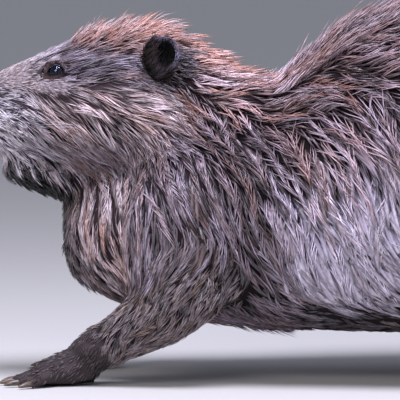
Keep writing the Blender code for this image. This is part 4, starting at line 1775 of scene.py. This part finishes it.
@dataclass
class Eye:
    """One eye: ball, clear front, and lids round an almond opening."""

    marks: Landmarks
    side: int
    sampler: SkinSampler
    radius: float = 0.0069
    pupil: float = 0.0022
    iris: float = 0.0048
    half_length: float = 0.0051
    half_height: float = 0.0036
    lower_share: float = 0.86
    roundness: float = 1.8
    lid: float = 0.0009
    lid_wall: float = 0.0011
    cornea_rise: float = 0.0005
    cornea_rim: float = math.radians(47)
    segments: int = 64

    def __post_init__(self) -> None:
        """Sets the eye's centre and its axes: forward along the slit, up, and out of the head."""
        flip = np.array([1.0, self.side, 1.0])
        self.centre = self.marks.ball * flip
        self.out = unit(np.array([-0.13, 0.95, 0.20]) * flip)
        forward = np.array([-1.0, 0.0, -0.16])
        self.forward = unit(forward - self.out * (forward @ self.out))
        self.up = np.cross(self.forward, self.out)
        if self.up[2] < 0:
            self.up = -self.up
        self.axes = np.stack([self.forward, self.up, self.out])
        self.turn = np.linspace(0, FULL_TURN, self.segments, endpoint=False)

    def hoop(self, angle: float, reach: float) -> Array:
        """A ring of points round the outward axis, at an angle from it and a distance from the centre."""
        cos, sin = np.cos(self.turn) * math.sin(angle), np.sin(self.turn) * math.sin(angle)
        return np.stack([cos, sin, np.full(self.segments, math.cos(angle))], 1) * reach

    def round_shell(self, name: str, rows: list[Array], first: float, last: float) -> Mesh:
        """A closed shell of rings round the outward axis, which it meets at a first and a last distance."""
        local = np.concatenate([*rows, [[0, 0, first], [0, 0, last]]])
        return shell(name, self.centre + local @ self.axes, ring_faces(len(rows), self.segments))

    def ball(self) -> Mesh:
        """The ball, with pupil and iris in its markings."""
        rows = [self.hoop(angle, self.radius) for angle in np.linspace(0.04, math.pi - 0.08, 34)]
        mesh = self.round_shell("ball", rows, self.radius, -self.radius)
        from_centre = read_points(mesh) - self.centre
        gap = lengths(np.cross(from_centre, self.out))
        front = (from_centre @ self.out > 0)[:, None]
        colours = mixed("#030304", "#0d0807", smooth(self.pupil, self.pupil + 0.0004, gap)[:, None])
        white, outside = "#0b0707", smooth(self.iris, self.iris + 0.0008, gap)[:, None]
        colours = colours * (1 - outside) + linear(white) * outside
        set_colours(mesh, MARKING, np.where(front, colours, linear(white)))
        return mesh

    def cornea(self) -> Mesh:
        """The clear lens over the ball, bulging a little in the middle."""
        shares = np.linspace(0.08, 1, 14)
        low, high = 0.00005, 0.00012
        outer = [high + self.cornea_rise * (1 - share**2) for share in shares]
        rows = [self.hoop(share * self.cornea_rim, self.radius + rise) for share, rise in zip(shares, outer)]
        rows += [self.hoop(share * self.cornea_rim, self.radius + low) for share in shares[::-1]]
        return self.round_shell("cornea", rows, self.radius + 0.00062, self.radius + low)

    def slit(self) -> Array:
        """How far the almond opening reaches from the outward axis, for each way round it."""
        cos, sin = np.cos(self.turn), np.sin(self.turn)
        high = np.where(sin > 0, self.half_height, self.half_height * self.lower_share)
        power = self.roundness
        return 1 / ((np.abs(cos) / self.half_length) ** power + (np.abs(sin) / high) ** power) ** (1 / power)

    def lids(self) -> Mesh:
        """Both lids as one closed ring: from the skin over their crest and round their edge to the ball."""
        cos, sin, slit = np.cos(self.turn), np.sin(self.turn), self.slit()
        outer = 0.0056 + 0.0018 * cos**2
        # For each ring from the slit out: its share of the way to the skin and its distance over the ball, in
        # lid thicknesses, how far it has merged with the skin, and how deep it lies in it.
        sections = (
            (0.0, -0.0004 / self.lid, 0, 0), (0.0, 0.35, 0, 0), (0.04, 0.8, 0, 0), (0.12, 1.0, 0, 0),
            (0.24, 0.95, 0.05, 0), (0.34, 1.15, 0.15, 0), (0.46, 1.0, 0.4, 0.0001), (0.6, 1.1, 0.7, 0.0002),
            (0.8, 1.0, 0.95, 0.0003), (1.0, 1.0, 1.0, 0.0012),
        )
        rows = []
        for share, over, _, _ in sections:
            reach, ball = slit * (1 - share) + outer * share, self.radius + self.lid * over
            level = np.sqrt(np.maximum(ball**2 - reach**2, (ball * 0.25) ** 2))
            rows.append(np.stack([reach * cos, reach * sin, level], 1))
        flat = (self.centre + np.stack(rows) @ self.axes).reshape(-1, 3)
        on_skin, facing = self.sampler.nearest(flat)
        count = len(sections)
        blend, sink = np.repeat(np.array(sections)[:, 2:], self.segments, axis=0).T[:, :, None]
        rise = 0.0006 * (1 - np.repeat(np.linspace(0, 1, count), self.segments))[:, None]
        flat = flat * (1 - blend) + (on_skin + facing * (rise - sink)) * blend
        under = flat.reshape(count, -1, 3)[1:-1] - self.out * self.lid_wall
        points = np.concatenate([flat, under[::-1].reshape(-1, 3)])
        mesh = shell("lids", points, loop_faces(count + len(under), self.segments))
        unwrap(mesh)
        self.mark_lids(mesh, slit)
        return mesh

    def mark_lids(self, mesh: Mesh, slit: Array) -> None:
        """Stores the lids' markings: wet black at the slit, and the tone of the skin away from it.

        The wet black edge is broad on the upper lid and in the corners, and a thin line on the lower lid.

        Args:
            mesh: The lids.
            slit: How far the opening reaches, for each way round it.
        """
        local = (read_points(mesh) - self.centre) @ self.axes[:2].T
        far = lengths(local)
        turned = np.arctan2(local[:, 1], local[:, 0]) % FULL_TURN
        edge = far - np.interp(turned, self.turn, slit, period=FULL_TURN)
        along = local[:, 0] / far
        corner = np.where(along > 0, 0.0032, 0.0018) * along**4
        reach = np.where(local[:, 1] > 0, 0.0020, 0.0009) + corner
        set_colours(mesh, MARKING, mixed("#040303", "#4c3d3e", smooth(0.0003, 1.0, edge / reach)[:, None]))


@dataclass
class Nose:
    """The bare nose: smoothed from its solid, with a nostril on each side."""

    voxel: float = 0.0009
    nostril: float = 0.0030
    nostril_depth: float = 0.0042
    groove: float = 0.0012
    groove_depth: float = 0.0010

    def build(self) -> Mesh:
        """The nose's mesh, with its markings."""
        mesh = remeshed(linked("nose_copy", merged_copy("nose", 0.0004)), self.voxel)
        points = relax(read_points(mesh), read_edges(mesh), 14, np.full(len(mesh.vertices), 0.5))
        write_points(mesh, points)
        low, high = points.min(axis=0), points.max(axis=0)
        middle = (low + high) / 2
        hole = np.array([low[0] + 0.0035, (high[1] - low[1]) * 0.30, middle[2] - 0.002])
        gap = lengths((mirror(points) - hole) / [1.0, 0.75, 1.15])
        pit = np.exp(-((gap / self.nostril) ** 2))
        groove = np.exp(-((points[:, 1] / self.groove) ** 2))
        groove *= smooth(middle[2] + 0.003, low[2], points[:, 2])
        depth = pit * self.nostril_depth + groove * self.groove_depth
        write_points(mesh, points - read_normals(mesh) * depth[:, None])
        # The nostrils and the middle groove are darkened: painted shade in the pits.
        set_colours(mesh, MARKING, mixed("#2a2426", "#060505", np.clip(pit + groove * 0.5, 0, 1)[:, None]))
        mesh.shade_smooth()
        return mesh


@dataclass
class Claw:
    """One claw: its solid smoothed into rounded horn."""

    node: str

    def build(self) -> Mesh:
        """The claw's mesh."""
        item = linked("claw_copy", merged_copy(self.node, 0.0003))
        item.modifiers.new("rounder", "SUBSURF").levels = 1
        mesh = evaluated(item)
        write_points(mesh, lift_to(read_points(mesh)))
        mesh.shade_smooth()
        return mesh


@dataclass
class Scatter:
    """A Geometry Nodes tree that sets a small shape on every point of a carrier, by stored directions."""

    name: str
    finish: Material
    size: tuple[float, float, float]
    sides: int
    rings: int
    cone: bool = False
    bend: float = 0.0

    def tree(self) -> GeometryNodeTree:
        """The tree, with its sizes and seed as named inputs."""
        tree = bpy.data.node_groups.new(self.name, "GeometryNodeTree")
        for way in ("INPUT", "OUTPUT"):
            tree.interface.new_socket("Geometry", in_out=way, socket_type="NodeSocketGeometry")
        for name in ("Length", "Width", "Height", "Bend"):
            tree.interface.new_socket(name, in_out="INPUT", socket_type="NodeSocketFloat")
        tree.interface.new_socket("Seed", in_out="INPUT", socket_type="NodeSocketInt")
        add = partial(add_node, tree)
        given = add("NodeGroupInput").outputs
        if self.cone:
            taper = {"Vertices": self.sides, "Side Segments": self.rings, "Radius Top": 0.08}
            shape = add("GeometryNodeMeshCone", {}, taper | {"Radius Bottom": 1.0, "Depth": 1.0})
        else:
            ball = {"Segments": self.sides, "Rings": self.rings, "Radius": 1.0}
            shape = add("GeometryNodeMeshUVSphere", {}, ball)
        sizes = {"X": given["Length"], "Y": given["Width"], "Z": given["Height"]}
        scale = add("ShaderNodeCombineXYZ", links=sizes)
        sized = add("GeometryNodeTransform", links={"Geometry": shape, "Scale": scale})
        spot = add("GeometryNodeInputPosition")
        up = add("ShaderNodeSeparateXYZ", links={"Vector": spot}).outputs["Z"]
        square = add("ShaderNodeMath", MULTIPLY, links={0: up, 1: up})
        bent = add("ShaderNodeMath", MULTIPLY, links={0: square, 1: given["Bend"]})
        offset = add("ShaderNodeCombineXYZ", links={"X": bent})
        curved = add("GeometryNodeSetPosition", links={"Geometry": sized, "Offset": offset})
        facing, forward, size = (
            add("GeometryNodeInputNamedAttribute", {"data_type": kind}, {"Name": name})
            for name, kind in (("facing", "FLOAT_VECTOR"), ("forward", "FLOAT_VECTOR"), ("size", "FLOAT"))
        )
        axes = {"primary_axis": "Z", "secondary_axis": "X"}
        ways = {"Primary Axis": facing, "Secondary Axis": forward}
        turned = add("FunctionNodeAxesToRotation", axes, links=ways)
        # Its sockets 2 and 3 are the least and the most of a single number.
        least_most = {2: 0.88, 3: 1.10}
        chance = add("FunctionNodeRandomValue", {"data_type": "FLOAT"}, least_most, {"Seed": given["Seed"]})
        scaled = add("ShaderNodeMath", MULTIPLY, links={0: size, 1: chance.outputs[1]})
        feeds = {"Points": given["Geometry"], "Instance": curved, "Rotation": turned, "Scale": scaled}
        spread = add("GeometryNodeInstanceOnPoints", links=feeds)
        real = add("GeometryNodeRealizeInstances", links={"Geometry": spread})
        dressed = add("GeometryNodeSetMaterial", {}, {"Material": self.finish}, {"Geometry": real})
        add("NodeGroupOutput", links={"Geometry": dressed})
        return tree

    def build(
        self, points: Array, facing: Array, forward: Array, size: Array
    ) -> Mesh:
        """Sets the shape on points.

        Args:
            points: Where each goes.
            facing: The way its Z points.
            forward: The way its X points.
            size: Its scale.

        Returns:
            The joined mesh.
        """
        carrier = bpy.data.meshes.new(self.name)
        carrier.from_pydata(points.tolist(), [], [])
        for name, kind, key, values in (
            ("facing", "FLOAT_VECTOR", "vector", facing),
            ("forward", "FLOAT_VECTOR", "vector", forward),
            ("size", "FLOAT", "value", size),
        ):
            layer = carrier.attributes.new(name, kind, "POINT")
            layer.data.foreach_set(key, values.astype(np.float32).ravel())
        item = linked(self.name, carrier)
        modifier = item.modifiers.new(self.name, "NODES")
        modifier.node_group = self.tree()
        length, width, height = self.size
        given = {"Length": length, "Width": width, "Height": height, "Bend": self.bend, "Seed": SEED}
        for socket in modifier.node_group.interface.items_tree:
            if socket.item_type == "SOCKET" and socket.in_out == "INPUT" and socket.name in given:
                modifier[socket.identifier] = given[socket.name]
        mesh = evaluated(item)
        mesh.shade_smooth()
        return mesh


@dataclass
class TailScales:
    """The scales of the tail's paddle, in staggered rows above and below."""

    sampler: SkinSampler
    finish: Material
    pitch: float = 0.0056
    row: float = 0.0058
    scale: tuple[float, float, float] = (0.0033, 0.0027, 0.0007)
    jitter: float = 0.0004
    steepest: float = 0.35
    colour: str = "#46403f"

    def set_out(self, low: Array, high: Array, rng: np.random.Generator) -> tuple[Array, Array]:
        """Finds the scales' places from above and from below.

        Args:
            low: Lowest corner of the tail's box.
            high: Highest corner.
            rng: Source of chance.

        Returns:
            The places, and the outward directions there.
        """
        places, facing = [], []
        for level, way in ((high[2] + 0.01, -1.0), (-0.01, 1.0)):
            for index, x in enumerate(np.arange(low[0] + 0.012, high[0], self.row)):
                for y in np.arange(low[1] + (index % 2) * self.pitch / 2, high[1], self.pitch):
                    spot = Vector((x + rng.normal(0, self.jitter), y + rng.normal(0, self.jitter), level))
                    hit, normal, _, _ = self.sampler.tree.ray_cast(spot, Vector((0, 0, way)), 0.08)
                    if hit is not None and abs(normal.z) > self.steepest:
                        places.append(hit)
                        facing.append(normal)
        return lift_to(np.array(places), self.scale[2]), np.array(facing)

    def build(self) -> Mesh:
        """The mesh of all scales, smaller towards the tail's root."""
        low, high = (np.array(corner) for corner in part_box("tail_paddle"))
        rng = np.random.default_rng(SEED)
        places, facing = self.set_out(low, high, rng)
        forward = unit(np.array([1.0, 0, 0]) - facing * facing[:, :1])
        size = 1 - 0.35 * smooth(0.03, 0.0, places[:, 0] - low[0])
        mesh = Scatter("tail_scales", self.finish, self.scale, 8, 4).build(places, facing, forward, size)
        write_points(mesh, lift_to(read_points(mesh)))
        tone = rng.uniform(0.75, 1.2, len(places))
        per_scale = len(mesh.vertices) // len(places)
        set_colours(mesh, MARKING, linear(self.colour) * np.repeat(tone, per_scale)[:, None])
        return mesh


@dataclass
class Whiskers:
    """Stiff whiskers in rows on the pad of each side, and a few above the eye."""

    marks: Landmarks
    sampler: SkinSampler
    finish: Material
    rows: int = 5
    each: int = 6
    over_eye: int = 3
    thickness: float = 0.00021
    length: float = 0.036
    colour: str = "#3a3236"

    def build(self) -> Mesh:
        """The mesh of all whiskers."""
        rng = np.random.default_rng(SEED + 1)
        spots, size = [], []
        for side, _ in SIDES:
            eye = self.marks.eye * [1, side, 1]
            for row in range(self.rows):
                for k in range(self.each):
                    back, rise = -0.046 + 0.0045 * k + 0.001 * row, -0.018 - 0.0055 * row
                    spots.append(eye + [back, side * 0.02, rise + rng.normal(0, 0.0006)])
                    size.append(0.55 + 0.09 * k + rng.normal(0, 0.05))
            for k in range(self.over_eye):
                spots.append(eye + [0.004 + 0.003 * k, side * 0.01, 0.014])
                size.append(0.55)
        places, facing = self.sampler.nearest(np.array(spots))
        outward = unit(facing * 0.75 + np.array([0.75, 0, -0.28]) + rng.normal(0, 0.08, facing.shape))
        forward = unit(np.cross(outward, np.cross([0.3, 0, -1.0], outward)))
        bristle = (self.thickness, self.thickness, self.length)
        scatter = Scatter("whiskers", self.finish, bristle, 5, 8, cone=True, bend=6.0)
        mesh = scatter.build(places - outward * 0.001, outward, forward, np.array(size))
        set_colours(mesh, MARKING, np.tile(linear(self.colour), (len(mesh.vertices), 1)))
        return mesh


@dataclass
class Beaver:
    """The whole dressed animal."""

    marks: Landmarks

    def build(self) -> None:
        """Builds every piece in order."""
        plan = CoatPlan(self.marks)
        flesh = [node for node in frame["nodes"] if not node.startswith(("claw", "eye", "ear", "nose"))]
        skin = Skin(plan, flesh).build()
        dark_skin = SkinFinish("dark_skin", 0.55, 1.6, 0.4, under_fur=True, shine=0.15).build()
        place("skin", skin, dark_skin, "coat", *flesh)
        sampler = SkinSampler(skin)
        self.coat(plan, sampler)
        self.head(sampler)
        horn = HornFinish().build()
        for node in frame["nodes"]:
            if node.startswith("claw"):
                place(f"{node}_horn", Claw(node).build(), horn, "claw", node)
        scale_skin = SkinFinish("tail_scale_skin", 0.42, 0.9, 0.15).build()
        place("tail_scales", TailScales(sampler, scale_skin).build(), scale_skin, "tail_scale")

    def coat(self, plan: CoatPlan, sampler: SkinSampler) -> None:
        """Dresses the skin with every layer of the coat.

        Args:
            plan: Where each zone lies.
            sampler: The skin.
        """
        hair = FurFinish("wet_guard_hair", 0.40, 0.35, 0.12).build()
        coat = Coat(plan, sampler)
        log.info("coat: %d triangles", sum(coat.dress(layer, hair, "coat") for layer in LAYERS))

    def head(self, sampler: SkinSampler) -> None:
        """Builds eyes, ears, nose and whiskers.

        Args:
            sampler: The skin that they join.
        """
        ball, cornea = EyeFinish().build(), CorneaFinish().build()
        lid = SkinFinish("lid_skin", 0.45, 0.7, 0.08, coat=0.05, shine=0.1).build()
        ear_skin = SkinFinish("ear_skin", 0.9, 1.0, 0.2, shine=0.1).build()
        ear_hair = FurFinish("ear_hair", 0.7, 0.0, 0.15, shine=0.2).build()
        hair = FurFinish("lid_hair", 0.6, 0.2, 0.12).build()
        for side, word in SIDES:
            eye = Eye(self.marks, side, sampler)
            place(f"eyeball_{word}", eye.ball(), ball, "eye", f"eye_{word}")
            place(f"cornea_{word}", eye.cornea(), cornea, "eye")
            lids = eye.lids()
            place(f"lids_{word}", lids, lid, "bare_skin")
            lid_plan = LidPlan(self.marks, centre=eye.centre, axes=eye.axes)
            Coat(lid_plan, SkinSampler(lids)).dress(LID_LAYER, hair, "coat", f"coat_{word}")
            ear = Ear(self.marks, side)
            cup = ear.build()
            place(f"ear_shell_{word}", cup, ear_skin, "ear", f"ear_{word}")
            coat = Coat(ear.plan(), SkinSampler(cup))
            for layer in EAR_LAYERS:
                coat.dress(layer, ear_hair, "ear", f"coat_{word}")
        leather = SkinFinish("nose_leather", 0.35, 0.8, 0.2, coat=0.3).build()
        place("nose_leather", Nose().build(), leather, "nose", "nose")
        bristle = SkinFinish("whisker", 0.4, 1.0, 0.02).build()
        place("whiskers", Whiskers(self.marks, sampler, bristle).build(), bristle, "coat")


@dataclass(frozen=True)
class Lamp:
    """An oval area lamp, set out from the head and turned to it. Power is in watts."""

    name: str
    offset: tuple[float, float, float]
    size: Pair
    power: float
    colour: str


@dataclass
class Studio:
    """Pale floor, soft light and the camera."""

    marks: Landmarks
    view_width: float = 0.28
    centre_behind_eye: float = 0.1015
    centre_height: float = 0.124
    distance: float = 3.2
    elevation: float = 3.5
    sensor: float = 36.0
    floor_reach: float = 40.0
    fibre_mm: float = 5 / 3
    lamps: tuple[Lamp, ...] = (
        Lamp("sky", (0.1, -0.5, 1.5), (1.0, 1.0), 56.0, "#ecebff"),
        Lamp("front", (-0.75, -1.8, 0.95), (1.5, 0.7), 24.0, "#f6f0f2"),
    )

    def build(self) -> None:
        """Builds the set."""
        self.floor()
        self.light()
        self.camera()

    def floor(self) -> None:
        """A wide pale floor."""
        reach = self.floor_reach
        points = [(x, y, 0.0) for y in (-reach, reach) for x in (-reach, reach)]
        mesh = bpy.data.meshes.new("floor")
        mesh.from_pydata(points, [], [(0, 1, 3, 2)])
        mesh.shade_smooth()
        item = linked("floor", mesh)
        made, add, shader, spot = new_material("pale_paper")
        # Paper fibre, a millimetre or two long.
        fibre = add("ShaderNodeTexNoise", {}, {"Scale": per_metre(self.fibre_mm)}, {"Vector": spot})
        bump = add("ShaderNodeBump", {}, {"Strength": 0.05, "Distance": 0.0003}, {"Height": fibre})
        fit(shader, {"Base Color": rgba("#b6b4b1"), "Roughness": 0.9}, {"Normal": bump})
        mesh.materials.append(made)

    def light(self) -> None:
        """An overcast sky: a broad lamp above, a wide one in front and a soft even surround."""
        scene = bpy.context.scene
        scene.world = bpy.data.worlds.new("overcast")
        scene.world.use_nodes = True
        tree = scene.world.node_tree
        fit(tree.nodes["Background"], {"Color": rgba("#d9def2"), "Strength": 0.57})
        focus = self.marks.eye + [0.15, -0.1, 0.0]
        for lamp in self.lamps:
            data = bpy.data.lights.new(lamp.name, "AREA")
            data.shape = "ELLIPSE"
            data.size, data.size_y = lamp.size
            data.energy = lamp.power
            data.color = linear(lamp.colour)
            item = bpy.data.objects.new(lamp.name, data)
            item.location = focus + lamp.offset
            item.rotation_euler = (Vector(focus) - item.location).to_track_quat("-Z", "Y").to_euler()
            scene.collection.objects.link(item)

    def camera(self) -> None:
        """A long lens from the animal's left side, a little above its own height."""
        target = Vector((self.marks.eye[0] + self.centre_behind_eye, 0.0, self.centre_height))
        tilt = math.radians(self.elevation)
        back = Vector((0.0, -math.cos(tilt), math.sin(tilt)))
        data = bpy.data.cameras.new("camera")
        data.sensor_width = self.sensor
        data.lens = self.sensor * self.distance / self.view_width
        data.clip_start, data.clip_end = 0.05, 50.0
        item = bpy.data.objects.new("camera", data)
        item.location = target + back * self.distance
        item.rotation_euler = (-back).to_track_quat("-Z", "Y").to_euler()
        bpy.context.scene.collection.objects.link(item)
        bpy.context.scene.camera = item


def main() -> None:
    """Builds the beaver and its set."""
    for item in list(bpy.data.objects):
        if item.name in ("Cube", "Light", "Camera"):
            bpy.data.objects.remove(item)
    marks = Landmarks.from_frame()
    Beaver(marks).build()
    Studio(marks).build()
    bpy.context.scene.view_settings.view_transform = "Standard"


if __name__ == "__main__":
    main()
